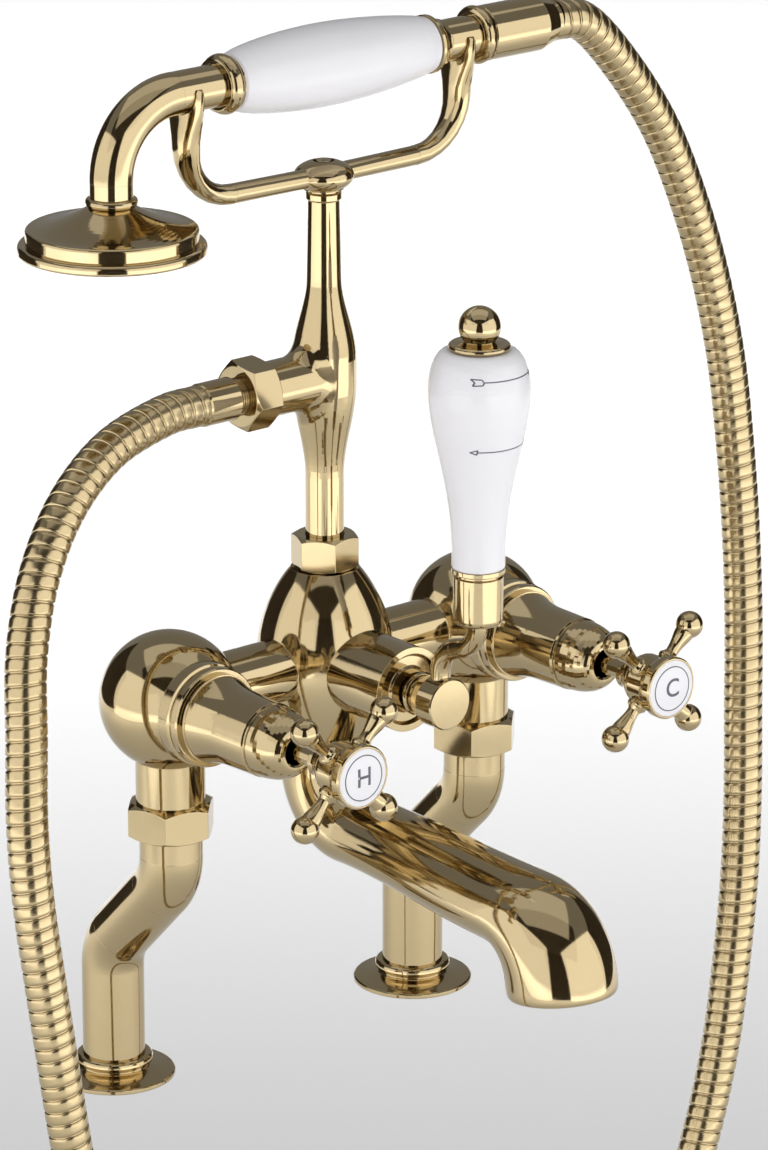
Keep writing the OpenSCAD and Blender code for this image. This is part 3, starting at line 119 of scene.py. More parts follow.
# The hose's route from the tee to the handset, in metres
HOSE_ROUTE = [
    (-0.072, -0.044, 0.3255), (-0.092, -0.044, 0.3245), (-0.124, -0.047, 0.316),
    (-0.152, -0.053, 0.298), (-0.173, -0.06, 0.272), (-0.186, -0.067, 0.24),
    (-0.192, -0.074, 0.206), (-0.197, -0.08, 0.17), (-0.198, -0.085, 0.134),
    (-0.196, -0.09, 0.097), (-0.193, -0.094, 0.06), (-0.189, -0.097, 0.023),
    (-0.183, -0.099, -0.014), (-0.172, -0.1, -0.05), (-0.156, -0.1, -0.085),
    (-0.134, -0.1, -0.116), (-0.106, -0.1, -0.142), (-0.072, -0.1, -0.162),
    (-0.035, -0.1, -0.175), (0.005, -0.1, -0.181), (0.045, -0.1, -0.18),
    (0.084, -0.1, -0.172), (0.12, -0.1, -0.157), (0.151, -0.099, -0.135),
    (0.176, -0.098, -0.106), (0.192, -0.096, -0.072), (0.205, -0.093, -0.035),
    (0.214, -0.09, 0.004), (0.222, -0.086, 0.044), (0.228, -0.081, 0.084),
    (0.232, -0.076, 0.125), (0.236, -0.071, 0.166), (0.238, -0.066, 0.208),
    (0.237, -0.062, 0.25), (0.234, -0.058, 0.292), (0.227, -0.054, 0.332),
    (0.215, -0.051, 0.371), (0.199, -0.048, 0.408), (0.177, -0.046, 0.44),
    (0.154, -0.044, 0.4641), (0.1343, -0.044, 0.4681),
]
# A rib's outline: its share of the pitch, and the share of the groove's depth it lies below the crest
RIB_OUTLINE = [(0.0, 1.0), (0.045, 0.9), (0.085, 0.32), (0.14, 0.09), (0.3, 0.02), (0.7, 0.02), (0.86, 0.09),
               (0.915, 0.32), (0.955, 0.9)]
# Points on each span of the route, and turns that the winding runs on past each end before it is trimmed
ROUTE_STEPS, RUN_ON = 12, 2

# The riser's outline near its tee, the tee's branch, and the hollow cast between them
TEE = Vector((0, -0.044, 0.3255))
COLUMN_TOP, SWELL_LOW, SWELL_HIGH, TAPER_TOP = 0.28, 0.322, 0.3345, 0.371
COLUMN_RADIUS, SWELL_RADIUS, TAPER_RADIUS, BRANCH_RADIUS = 0.00875, 0.0145, 0.0078, 0.0125
FILLET_TOP, FILLET_SIDE, FILLET_PULL = 0.0085, 0.005, 0.6
FILLET_SUNK, FILLET_BACK = 0.00005, 0.002
FILLET_SECTIONS, FILLET_STEPS = 96, 14
# The share of its reach from which the hollow takes its slope where it meets the riser
FILLET_SLOPE_FROM = 0.9

# The cradle's boss, and how much wider and flatter it is cast
BOSS_RADIUS = 0.0117
BOSS_FOOT = (0, -0.044, 0.412)
BOSS_SPREAD = (1.2, 1.15, 0.95)

# Points this near the spout's ends are on its rims, and how far its triangles may bend and skew to be joined
RIM_DEPTH = 1e-5
SPOUT_BEND, SPOUT_SKEW = math.radians(40), math.radians(70)

# The pieces in each finish
BRASS_NODES = [
    "body_casting", "left_union_nut", "right_union_nut", "left_leg", "right_leg", "left_deck_flange",
    "right_deck_flange", "hot_shroud", "cold_shroud", "diverter_gland", "riser", "riser_nut",
    "tee_hose_nut", "hose_tee_ferrule", "hot_spindle", "hot_cross_handle", "cold_spindle",
    "cold_cross_handle", "lever_arm", "lever_ferrule", "lever_finial", "rose_face", "rose_ring",
    "rose_bell", "rose_collar", "handset_elbow", "handset_front_ferrule", "handset_rear_ferrule",
    "handset_tail", "hose_sleeve", "hose_hand_ferrule",
]
CERAMIC_NODES = ["lever_grip", "handset_grip", "hot_index", "cold_index"]
INNER_BRASS_NODES = [
    "spout_nipple", "left_union_tail", "right_union_tail", "hot_cartridge", "cold_cartridge", "cradle_screw",
    "hot_handle_screw", "cold_handle_screw", "diverter_spool", "lever_rod", "handset_tube",
]
FIBRE_NODES = [
    "left_union_washer", "right_union_washer", "riser_washer", "tee_hose_washer", "hose_sleeve_washer",
]
RUBBER_NODES = ["diverter_o_rings"]

# The letters on the indexes: type size to letter height, and how much bolder they are drawn
INDEX_LETTERS = {"hot_index": "H", "cold_index": "C"}
TYPE_TO_LETTER, LETTER_BOLD = 1.4, 0.0001
# The ring's share of its index, and its sides
RING_SHARE, RING_SIDES = 0.8, 72
# How far in front of an index and of the grip a mark starts
INDEX_CLEAR, GRIP_CLEAR = 0.004, 0.01
# How far back a mark may be pressed, and how proud it is left
PRESS_REACH, MARK_LIFT = 0.1, 0.00005
# The arrows' heights, and the way each points, +1 to the right
ARROWS = {"upper_arrow": (0.352, 1), "lower_arrow": (0.320, -1)}
# An arrow on the lever's grip: half its length, and its lines as shares of that half and metres up
ARROW_HALF, ARROW_STEP = 0.0155, 0.0006
ARROW_LINES = [
    [(-0.8, 0), (0.86, 0)],
    [(0.86, 0.0011), (1.0, 0), (0.86, -0.0011), (0.86, 0.0011)],
    [(-0.8, 0), (-0.84, 0.0012), (-1.06, 0.0014), (-1.0, 0), (-1.06, -0.0014), (-0.84, -0.0012), (-0.8, 0)],
]


class MixerFinish(bpy.types.PropertyGroup):
    """Colours of the finishes"""

    brass: FloatVectorProperty(
        name="Brass", description="Colour of the polished brass",
        subtype="COLOR", size=3, min=0, max=1, default=(0.53, 0.425, 0.25))
    brass_deep: FloatVectorProperty(
        name="Toned brass", description="Colour where the brass has toned a little",
        subtype="COLOR", size=3, min=0, max=1, default=(0.485, 0.38, 0.21))
    ceramic: FloatVectorProperty(
        name="Ceramic", description="Colour of the glazed ceramic",
        subtype="COLOR", size=3, min=0, max=1, default=(0.77, 0.76, 0.785))
    ink: FloatVectorProperty(
        name="Ink", description="Colour of the fired marks",
        subtype="COLOR", size=3, min=0, max=1, default=(0.10, 0.10, 0.13))
    fibre: FloatVectorProperty(
        name="Fibre", description="Colour of the fibre washers",
        subtype="COLOR", size=3, min=0, max=1, default=(0.25, 0.08, 0.05))
    rubber: FloatVectorProperty(
        name="Rubber", description="Colour of the rubber seals",
        subtype="COLOR", size=3, min=0, max=1, default=(0.02, 0.02, 0.02))


class MixerHose(bpy.types.PropertyGroup):
    """Sizes of the ribbed hose"""

    diameter: FloatProperty(name="Diameter", description="Outside diameter of the hose", unit="LENGTH",
                            default=0.0185, min=0.012, max=0.024, precision=4)
    pitch: FloatProperty(name="Rib pitch", description="Distance from one rib to the next", unit="LENGTH",
                         default=0.0059, min=0.003, max=0.012, precision=4)
    groove: FloatProperty(name="Groove", description="Depth of the groove between two ribs", unit="LENGTH",
                          default=0.0007, min=0.0003, max=0.002, precision=4)
    sides: IntProperty(name="Sides", description="Points round the hose", default=36, min=12, max=48)


class MixerMarks(bpy.types.PropertyGroup):
    """Sizes of the inked marks"""

    letter: FloatProperty(name="Letter", description="Height of the letter on an index", unit="LENGTH",
                          default=0.0085, min=0.004, max=0.014, precision=4)
    line: FloatProperty(name="Line", description="Width of an inked line", unit="LENGTH",
                        default=0.0005, min=0.0002, max=0.001, precision=4)


class MixerStudio(bpy.types.PropertyGroup):
    """The camera, the floor and the light"""

    lens: FloatProperty(
        name="Lens", description="Focal length of the camera, in millimetres",
        default=192.61, min=50, max=300)
    floor_below: FloatProperty(
        name="Floor", description="How far the floor lies below the deck", unit="LENGTH",
        default=0.6, min=0.2, max=5)
    left_panel: FloatProperty(
        name="Left panel", description="Power of the left panel, in watts",
        default=26, min=0, max=200)
    right_panel: FloatProperty(
        name="Right panel", description="Power of the right panel, in watts",
        default=31, min=0, max=200)
    ceiling: FloatProperty(
        name="Ceiling", description="Power of the overhead panel, in watts",
        default=14, min=0, max=200)
    floor_lamp: FloatProperty(
        name="Floor lamps", description="Power of each lamp over the floor, in watts",
        default=85, min=0, max=300)
    surround: FloatProperty(
        name="Surroundings", description="Brightness of the plain surroundings",
        default=0.25, min=0, max=1)
    card: FloatVectorProperty(
        name="Cards", description="Colour of the dark cards",
        subtype="COLOR", size=3, min=0, max=1, default=(0.035, 0.026, 0.015))


def deselect():
    """Leaves edit mode, with nothing selected."""
    if bpy.context.object and bpy.context.object.mode != "OBJECT":
        bpy.ops.object.mode_set(mode="OBJECT")
    bpy.ops.object.select_all(action="DESELECT")


def pick(piece):
    """Selects one piece alone."""
    deselect()
    piece.select_set(True)
    bpy.context.view_layer.objects.active = piece


def edit_all(piece):
    """Opens a piece in edit mode with all of it selected."""
    pick(piece)
    bpy.ops.object.mode_set(mode="EDIT")
    bpy.ops.mesh.select_mode(type="VERT")
    bpy.ops.mesh.select_all(action="SELECT")


def choose(piece, test):
    """Opens a piece in edit mode with only the points that pass the test selected."""
    edit_all(piece)
    bpy.ops.mesh.select_all(action="DESELECT")
    bpy.ops.object.mode_set(mode="OBJECT")
    for point in piece.data.vertices:
        point.select = test(point.co)
    bpy.ops.object.mode_set(mode="EDIT")


def build_piece(name, points, faces):
    """A new piece from its points and faces."""
    mesh = bpy.data.meshes.new(name)
    mesh.from_pydata(points, [], faces)
    piece = bpy.data.objects.new(name, mesh)
    bpy.context.scene.collection.objects.link(piece)
    return piece


def finish_mesh(piece, material, angle):
    """Merges doubles, turns normals outwards, smooths and paints a new piece."""
    edit_all(piece)
    bpy.ops.mesh.remove_doubles(threshold=MERGE)
    bpy.ops.mesh.normals_make_consistent(inside=False)
    pick(piece)
    bpy.ops.object.shade_smooth_by_angle(angle=math.radians(angle))
    piece.data.materials.clear()
    piece.data.materials.append(material)


def apply_place(piece):
    """Puts a piece's place, turn and size into its mesh."""
    pick(piece)
    bpy.ops.object.transform_apply(location=True, rotation=True, scale=True)


def apply_modifier(piece, kind, **settings):
    """Adds one modifier and applies it."""
    pick(piece)
    bpy.ops.object.modifier_add(type=kind)
    modifier = piece.modifiers[-1]
    for name, value in settings.items():
        setattr(modifier, name, value)
    bpy.ops.object.modifier_apply(modifier=modifier.name)


def body_of_node(node):
    """The body that carries a CAD node."""
    return next(body for body, members in frame["record"]["behaviour"]["bodies"].items() if node in members)


def add_node(tree, kind, **inputs):
    """Adds a shader node and sets its inputs by name."""
    made = tree.nodes.new(kind)
    for name, value in inputs.items():
        made.inputs[name].default_value = value
    return made


def new_group(name, inputs, outputs):
    """Starts a shader node group with named sockets."""
    group = bpy.data.node_groups.new(name, "ShaderNodeTree")
    for label, kind, value in inputs:
        socket = group.interface.new_socket(name=label, in_out="INPUT", socket_type=kind)
        socket.default_value = value
    for label, kind in outputs:
        group.interface.new_socket(name=label, in_out="OUTPUT", socket_type=kind)
    return group, group.nodes.new("NodeGroupInput"), group.nodes.new("NodeGroupOutput")


def handling_group():
    """Soft patches of toning and faint wiping marks, for every bare metal."""
    found = bpy.data.node_groups.get("Handling")
    if found:
        return found
    group, start, end = new_group(
        "Handling",
        [("Clean", "NodeSocketColor", UNSET), ("Toned", "NodeSocketColor", UNSET),
         ("Patch Scale", "NodeSocketFloat", 26.0), ("Smooth", "NodeSocketFloat", POLISH[0]),
         ("Wiped", "NodeSocketFloat", POLISH[1])],
        [("Color", "NodeSocketColor"), ("Roughness", "NodeSocketFloat"), ("Height", "NodeSocketFloat")],
    )
    link = group.links.new
    where = group.nodes.new("ShaderNodeTexCoord")
    patches = add_node(group, "ShaderNodeTexNoise", Detail=3.0, Roughness=0.55)
    link(where.outputs["Object"], patches.inputs["Vector"])
    link(start.outputs["Patch Scale"], patches.inputs["Scale"])
    mix = group.nodes.new("ShaderNodeMix")
    mix.data_type = "RGBA"
    link(patches.outputs["Fac"], mix.inputs["Factor"])
    link(start.outputs["Clean"], mix.inputs["A"])
    link(start.outputs["Toned"], mix.inputs["B"])
    link(mix.outputs["Result"], end.inputs["Color"])
    wipes = add_node(group, "ShaderNodeTexNoise", Scale=140.0, Detail=4.0, Roughness=0.6)
    link(where.outputs["Object"], wipes.inputs["Vector"])
    spread = group.nodes.new("ShaderNodeMapRange")
    link(wipes.outputs["Fac"], spread.inputs["Value"])
    link(start.outputs["Smooth"], spread.inputs["To Min"])
    link(start.outputs["Wiped"], spread.inputs["To Max"])
    link(spread.outputs["Result"], end.inputs["Roughness"])
    link(wipes.outputs["Fac"], end.inputs["Height"])
    return group


def new_material(name):
    """A new material, with its node tree and its shader."""
    material = bpy.data.materials.new(name)
    material.use_nodes = True
    tree = material.node_tree
    shader = tree.nodes["Principled BSDF"]
    return material, tree, shader


def metal(name, clean, toned, polish, edge):
    """A polished metal with softened edges and faint handling."""
    material, tree, shader = new_material(name)
    link = tree.links.new
    handled = tree.nodes.new("ShaderNodeGroup")
    handled.node_tree = handling_group()
    handled.inputs["Clean"].default_value = (*clean, 1)
    handled.inputs["Toned"].default_value = (*toned, 1)
    handled.inputs["Smooth"].default_value, handled.inputs["Wiped"].default_value = polish
    link(handled.outputs["Color"], shader.inputs["Base Color"])
    link(handled.outputs["Roughness"], shader.inputs["Roughness"])
    shader.inputs["Metallic"].default_value = 1.0
    bump = add_node(tree, "ShaderNodeBump", Strength=0.015, Distance=0.0004)
    link(handled.outputs["Height"], bump.inputs["Height"])
    if edge:
        rounded = tree.nodes.new("ShaderNodeBevel")
        rounded.samples = 6
        rounded.inputs["Radius"].default_value = edge
        link(rounded.outputs["Normal"], bump.inputs["Normal"])
    link(bump.outputs["Normal"], shader.inputs["Normal"])
    return material


def cloud(tree, shader, colour, scale, shade):
    """Gives a colour soft clouds, shaded a little."""
    where = tree.nodes.new("ShaderNodeTexCoord")
    patches = add_node(tree, "ShaderNodeTexNoise", Scale=scale, Detail=2.0)
    tree.links.new(where.outputs["Object"], patches.inputs["Vector"])
    tint = tree.nodes.new("ShaderNodeMix")
    tint.data_type = "RGBA"
    tint.inputs["A"].default_value = (*colour, 1)
    tint.inputs["B"].default_value = (*[c * shade for c in colour], 1)
    tree.links.new(patches.outputs["Fac"], tint.inputs["Factor"])
    tree.links.new(tint.outputs["Result"], shader.inputs["Base Color"])


def glaze(name, colour):
    """White glazed ceramic with a faint unevenness under the glaze."""
    material, tree, shader = new_material(name)
    cloud(tree, shader, colour, scale=60.0, shade=0.97)
    shader.inputs["Roughness"].default_value = 0.2
    shader.inputs["Specular IOR Level"].default_value = 0.3
    shader.inputs["Coat Weight"].default_value = 0.2
    shader.inputs["Coat Roughness"].default_value = 0.04
    return material


def plain(name, colour, rough):
    """A plain matt material with a little unevenness."""
    material, tree, shader = new_material(name)
    cloud(tree, shader, colour, scale=40.0, shade=0.85)
    shader.inputs["Roughness"].default_value = rough
    return material


def stage_matt(name, colour):
    """An even matt material for the stage."""
    material, _, shader = new_material(name)
    shader.inputs["Base Color"].default_value = (*colour, 1)
    shader.inputs["Roughness"].default_value = STAGE_ROUGHNESS
    return material


def shared(name, make):
    """One material by name, made the first time it is asked for."""
    return bpy.data.materials.get(name) or make()


def brass():
    """The polish on every bare piece but the hose."""
    tones = bpy.context.scene.mixer_finish
    return shared("Polished brass",
                  lambda: metal("Polished brass", tones.brass, tones.brass_deep, POLISH, ROUNDED_EDGE))


def hose_brass():
    """The duller polish on the hose."""
    tones = bpy.context.scene.mixer_finish
    return shared("Hose brass", lambda: metal("Hose brass", tones.brass, tones.brass_deep, HOSE_POLISH, 0))


def ceramic():
    """The glaze on the grips and indexes."""
    return shared("Glazed ceramic", lambda: glaze("Glazed ceramic", bpy.context.scene.mixer_finish.ceramic))


def ink():
    """The ink of the letters, rings and arrows."""
    return shared("Fired ink", lambda: plain("Fired ink", bpy.context.scene.mixer_finish.ink, rough=0.35))


def paint_node(node, material):
    """Gives a CAD node its finish."""
    piece = frame["nodes"][node]
    piece.data.materials.clear()
    piece.data.materials.append(material)


def copy_of_node(node):
    """A merged copy of a CAD node, to be reworked into the piece that stands for it."""
    pick(frame["nodes"][node])
    bpy.ops.object.duplicate()
    piece = bpy.context.active_object
    piece.name = node + "_smooth"
    piece.data.name = piece.name
    del piece["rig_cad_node"]
    edit_all(piece)
    bpy.ops.mesh.customdata_custom_splitnormals_clear()
    bpy.ops.mesh.remove_doubles(threshold=COPY_MERGE)
    bpy.ops.object.mode_set(mode="OBJECT")
    return piece


def stand_for(piece, node):
    """Puts a new piece in a CAD node's place, on the same body."""
    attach(piece, body_of_node(node))
    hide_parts(node)


def set_round(turn, rise, away):
    """A place round from the camera, and the turn that faces the mixer from there."""
    side = math.radians(LOOK_TURN + turn)
    level = math.cos(math.radians(rise))
    toward = Vector((math.sin(side) * level, -math.cos(side) * level, math.sin(math.radians(rise))))
    return LOOK_AT + toward * away, (-toward).to_track_quat("-Z", "Y")


def soft_lamp(name, where, facing, size, power):
    """A soft rectangular lamp that the camera doesn't see."""
    deselect()
    bpy.ops.object.light_add(type="AREA", location=where)
    lamp = bpy.context.active_object
    lamp.name = name
    lamp.rotation_mode = "QUATERNION"
    lamp.rotation_quaternion = facing
    lamp.data.shape = "RECTANGLE"
    lamp.data.size, lamp.data.size_y = size
    lamp.data.energy = power
    lamp.visible_camera = False
    return lamp


def panel(name, place, power):
    """A lamp panel that faces the mixer and shows in its brass."""
    turn, rise, away, *size = place
    where, facing = set_round(turn, rise, away)
    soft_lamp(name, where, facing, size, power)


def dark_card(name, place, material):
    """A plain dark card that faces the mixer, shows in its brass and leaves the floor lit."""
    turn, rise, away, wide, high = place
    where, facing = set_round(turn, rise, away)
    deselect()
    bpy.ops.mesh.primitive_plane_add(size=1, location=where)
    card = bpy.context.active_object
    card.name = name
    card.rotation_mode = "QUATERNION"
    card.rotation_quaternion = facing
    card.scale = (wide, high, 1)
    apply_place(card)
    card.data.materials.append(material)
    card.visible_camera = False
    card.visible_diffuse = False
    card.visible_shadow = False


class MIXER_OT_stage(bpy.types.Operator):
    """Sets up the camera, the pale floor, the lamps, the dark cards and the plain surroundings"""

    bl_idname = "mixer.stage"
    bl_label = "Stage"

    def execute(self, context):
        studio = context.scene.mixer_studio
        scene = context.scene
        scene.view_settings.view_transform = "Standard"
        where, facing = set_round(0, LOOK_RISE, LOOK_FROM)
        deselect()
        bpy.ops.object.camera_add(location=where)
        camera = context.active_object
        camera.name = "Camera"
        camera.rotation_mode = "QUATERNION"
        camera.rotation_quaternion = facing
        camera.data.lens = studio.lens
        camera.data.sensor_width = SENSOR_WIDTH
        camera.data.sensor_fit = "AUTO"
        camera.data.clip_start, camera.data.clip_end = SEEN_FROM, SEEN_TO
        scene.camera = camera
        self.floor(context, studio)
        turn, *rest = SIDE_PANEL
        panel("Left_panel", (-turn, *rest), studio.left_panel)
        panel("Right_panel", (turn, *rest), studio.right_panel)
        panel("Ceiling_panel", CEILING_PANEL, studio.ceiling)
        for turn in FLOOR_LAMP_TURNS:
            self.floor_lamp(studio, turn)
        dark = stage_matt("Dark card", studio.card)
        for name, place in DARK_CARDS.items():
            dark_card(name, place, dark)
        self.surroundings(scene, studio)
        return {"FINISHED"}

    def floor(self, context, studio):
        """Lays the pale floor under the mixer."""
        deselect()
        bpy.ops.mesh.primitive_plane_add(size=FLOOR_SIZE, location=(0, 0, -studio.floor_below))
        ground = context.active_object
        ground.name = "Floor"
        apply_place(ground)
        ground.data.materials.append(stage_matt("Pale floor", FLOOR_COLOUR))

    def floor_lamp(self, studio, turn):
        """Lights the floor on one side from straight above, and not the mixer."""
        out, up, *size = FLOOR_LAMP
        side = math.radians(LOOK_TURN + turn)
        where = (math.sin(side) * out, -math.cos(side) * out, up)
        facing = Euler((0, 0, side)).to_quaternion()
        lamp = soft_lamp(f"Floor_lamp_{turn}", where, facing, size, studio.floor_lamp)
        lamp.data.spread = FLOOR_LAMP_SPREAD

    def surroundings(self, scene, studio):
        """Sets an even, plain light all round."""
        world = scene.world or bpy.data.worlds.new("Surroundings")
        scene.world = world
        world.use_nodes = True
        plain_sky = world.node_tree.nodes["Background"]
        plain_sky.inputs["Color"].default_value = (1, 1, 1, 1)
        plain_sky.inputs["Strength"].default_value = studio.surround


def route_curve(steps):
    """Points along the smooth curve through the hose's route, with its length so far at each."""
    points = [Vector(p) for p in HOSE_ROUTE]
    full = [2 * points[0] - points[1], *points, 2 * points[-1] - points[-2]]
    line = []
    for k in range(len(points) - 1):
        a, b, c, d = full[k:k + 4]
        for i in range(steps):
            t = i / steps
            line.append(0.5 * (2 * b + (c - a) * t + (2 * a - 5 * b + 4 * c - d) * t * t
                               + (3 * b - a - 3 * c + d) * t ** 3))
    line.append(points[-1])
    along = [0.0]
    for p, q in zip(line, line[1:]):
        along.append(along[-1] + (q - p).length)
    return line, along


class Route:
    """The hose's centre line, read by distance from the tee, running on straight past both ends"""

    def __init__(self):
        self.line, self.along = route_curve(ROUTE_STEPS)
        self.length = self.along[-1]

    def at(self, s):
        """The place and the heading at a distance from the tee."""
        if s <= 0:
            heading = (self.line[1] - self.line[0]).normalized()
            return self.line[0] + heading * s, heading
        if s >= self.length:
            heading = (self.line[-1] - self.line[-2]).normalized()
            return self.line[-1] + heading * (s - self.length), heading
        low, high = 0, len(self.along) - 1
        while high - low > 1:
            middle = (low + high) // 2
            if self.along[middle] <= s:
                low = middle
            else:
                high = middle
        t = (s - self.along[low]) / (self.along[high] - self.along[low])
        place = self.line[low].lerp(self.line[high], t)
        before = (self.line[low + 1] - self.line[max(low - 1, 0)]).normalized()
        after = (self.line[min(low + 2, len(self.line) - 1)] - self.line[low]).normalized()
        return place, before.lerp(after, t).normalized()


class MIXER_OT_hose(bpy.types.Operator):
    """Winds the ribbed hose along its route from the tee to the handset"""

    bl_idname = "mixer.hose"
    bl_label = "Hose"

    def execute(self, context):
        sizes = context.scene.mixer_hose
        route = Route()
        piece = self.wind(sizes, route)
        for s, way in ((0, -1), (route.length, 1)):
            place, heading = route.at(s)
            self.trim(piece, place, heading * way, sizes)
        finish_mesh(piece, hose_brass(), HOSE_SMOOTH)
        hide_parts("hose")
        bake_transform(piece)
        return {"FINISHED"}

    def wind(self, sizes, route):
        """One winding with a rib's outline, run on past both ends."""
        sides, outline = sizes.sides, RIB_OUTLINE
        turns = math.ceil(route.length / sizes.pitch) + 2 * RUN_ON
        steps = turns * sides
        points, faces = [], []
        index = {}
        for t in range(steps + sides + 1):
            for p, (share, depth) in enumerate(outline):
                if t > steps and p > 0:
                    continue
                s = (t / sides + share - RUN_ON) * sizes.pitch
                place, heading = route.at(s)
                across = heading.cross(Vector((0, 1, 0))).normalized()
                front = across.cross(heading)
                turn = 2 * math.pi * t / sides
                radius = sizes.diameter / 2 - depth * sizes.groove
                index[p, t] = len(points)
                points.append(place + radius * (math.cos(turn) * front + math.sin(turn) * across))
        last = len(outline) - 1
        for t in range(steps):
            for p in range(last):
                faces.append((index[p, t], index[p + 1, t], index[p + 1, t + 1], index[p, t + 1]))
            faces.append((index[last, t], index[0, t + sides], index[0, t + sides + 1], index[last, t + 1]))
        return build_piece("hose_ribbed", points, faces)

    def trim(self, piece, place, outward, sizes):
        """Cuts one end off square and closes it."""
        near = 2 * RUN_ON * sizes.pitch + sizes.diameter
        choose(piece, lambda co: (co - place).length < near)
        bpy.ops.mesh.bisect(plane_co=place, plane_no=outward, use_fill=True, clear_outer=True)
        bpy.ops.object.mode_set(mode="OBJECT")


class MIXER_OT_brasswork(bpy.types.Operator):
    """Polishes every outer brass piece"""

    bl_idname = "mixer.brasswork"
    bl_label = "Brasswork"

    def execute(self, context):
        for node in BRASS_NODES:
            paint_node(node, brass())
        return {"FINISHED"}


def riser_radius(z):
    """The riser's outside radius near its tee."""
    if z < SWELL_LOW:
        low, high, start, end = COLUMN_TOP, SWELL_LOW, COLUMN_RADIUS, SWELL_RADIUS
    elif z > SWELL_HIGH:
        low, high, start, end = SWELL_HIGH, TAPER_TOP, SWELL_RADIUS, TAPER_RADIUS
    else:
        return SWELL_RADIUS
    t = min(max((z - low) / (high - low), 0), 1)
    return start + (end - start) * t * t * (3 - 2 * t)


def riser_point(turn, z, inset):
    """A point on the riser, turned round from the branch's side and set a little under the skin."""
    radius = riser_radius(z) - inset
    return Vector((-radius * math.cos(turn), TEE.y + radius * math.sin(turn), z))


class MIXER_OT_tee_fillet(bpy.types.Operator):
    """Casts the rounded hollow between the riser and its branch, as a closed ring"""

    bl_idname = "mixer.tee_fillet"
    bl_label = "Tee fillet"

    def execute(self, context):
        points = []
        for k in range(FILLET_SECTIONS):
            points += self.section(2 * math.pi * k / FILLET_SECTIONS)
        count = len(points) // FILLET_SECTIONS
        faces = []
        for k in range(FILLET_SECTIONS):
            here, there = k * count, (k + 1) % FILLET_SECTIONS * count
            for i in range(count):
                j = (i + 1) % count
                faces.append((here + i, here + j, there + j, there + i))
        piece = build_piece("tee_fillet", points, faces)
        finish_mesh(piece, brass(), FILLET_SMOOTH)
        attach(piece, body_of_node("riser"))
        return {"FINISHED"}

    def section(self, turn):
        """One cut through the ring, from the branch over the hollow to the riser and back inside."""
        side, up = math.sin(turn), math.cos(turn)
        reach = FILLET_SIDE + (FILLET_TOP - FILLET_SIDE) * up * up
        corner_z = TEE.z + BRANCH_RADIUS * up
        corner_turn = math.asin(BRANCH_RADIUS * side / riser_radius(corner_z))
        corner = riser_point(corner_turn, corner_z, 0)
        away_turn = side * math.cos(corner_turn)
        length = math.hypot(away_turn, up)
        away_turn, away_z = away_turn / length, up / length

        def down_riser(share):
            run = reach * share
            turned = corner_turn + away_turn * run / SWELL_RADIUS
            return riser_point(turned, corner_z + away_z * run, FILLET_SUNK)

        inward = Vector((0, -side, -up))
        start = corner + Vector((-reach, 0, 0)) + inward * FILLET_SUNK
        end = down_riser(1)
        pull = (end - down_riser(FILLET_SLOPE_FROM)).normalized() * reach * FILLET_PULL
        first, second = start + Vector((reach * FILLET_PULL, 0, 0)), end - pull
        curve = []
        for i in range(FILLET_STEPS + 1):
            t = i / FILLET_STEPS
            curve.append((1 - t) ** 3 * start + 3 * (1 - t) ** 2 * t * first + 3 * (1 - t) * t * t * second
                         + t ** 3 * end)
        return [*curve, corner + Vector((FILLET_BACK, 0, 0)) + inward * FILLET_BACK]


class MIXER_OT_spout(bpy.types.Operator):
    """Draws the cast spout's skin smooth"""

    bl_idname = "mixer.spout"
    bl_label = "Spout"

    def execute(self, context):
        piece = copy_of_node("spout")
        low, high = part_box("spout")
        edit_all(piece)
        bpy.ops.mesh.tris_convert_to_quads(face_threshold=SPOUT_BEND, shape_threshold=SPOUT_SKEW)
        choose(piece, lambda co: co.z > high.z - RIM_DEPTH or co.z < low.z + RIM_DEPTH)
        bpy.ops.transform.edge_crease(value=1.0)
        bpy.ops.object.mode_set(mode="OBJECT")
        apply_modifier(piece, "SUBSURF", levels=2)
        finish_mesh(piece, brass(), SPOUT_SMOOTH)
        stand_for(piece, "spout")
        return {"FINISHED"}


class MIXER_OT_cradle(bpy.types.Operator):
    """Rounds the cradle's bent arms and spreads its boss"""

    bl_idname = "mixer.cradle"
    bl_label = "Cradle"

    def execute(self, context):
        piece = copy_of_node("cradle")
        choose(piece, lambda co: abs(co.x) < BOSS_RADIUS)
        bpy.ops.transform.resize(value=BOSS_SPREAD, center_override=BOSS_FOOT)
        bpy.ops.object.mode_set(mode="OBJECT")
        finish_mesh(piece, brass(), CRADLE_SMOOTH)
        apply_modifier(piece, "WEIGHTED_NORMAL", keep_sharp=True)
        stand_for(piece, "cradle")
        return {"FINISHED"}


class MIXER_OT_ceramics(bpy.types.Operator):
    """Glazes the lever's grip, the handset's grip and the two indexes"""

    bl_idname = "mixer.ceramics"
    bl_label = "Ceramics"

    def execute(self, context):
        for node in CERAMIC_NODES:
            paint_node(node, ceramic())
        return {"FINISHED"}


def press_on(piece, target):
    """Lays a flat mark against the piece behind it and gives it a skin's thickness."""
    apply_modifier(piece, "SHRINKWRAP", target=target, wrap_method="PROJECT", use_project_y=True,
                   use_project_x=False, use_project_z=False, use_positive_direction=True,
                   use_negative_direction=False, project_limit=PRESS_REACH, offset=MARK_LIFT)
    apply_modifier(piece, "SOLIDIFY", thickness=2 * MARK_LIFT, offset=0.0)


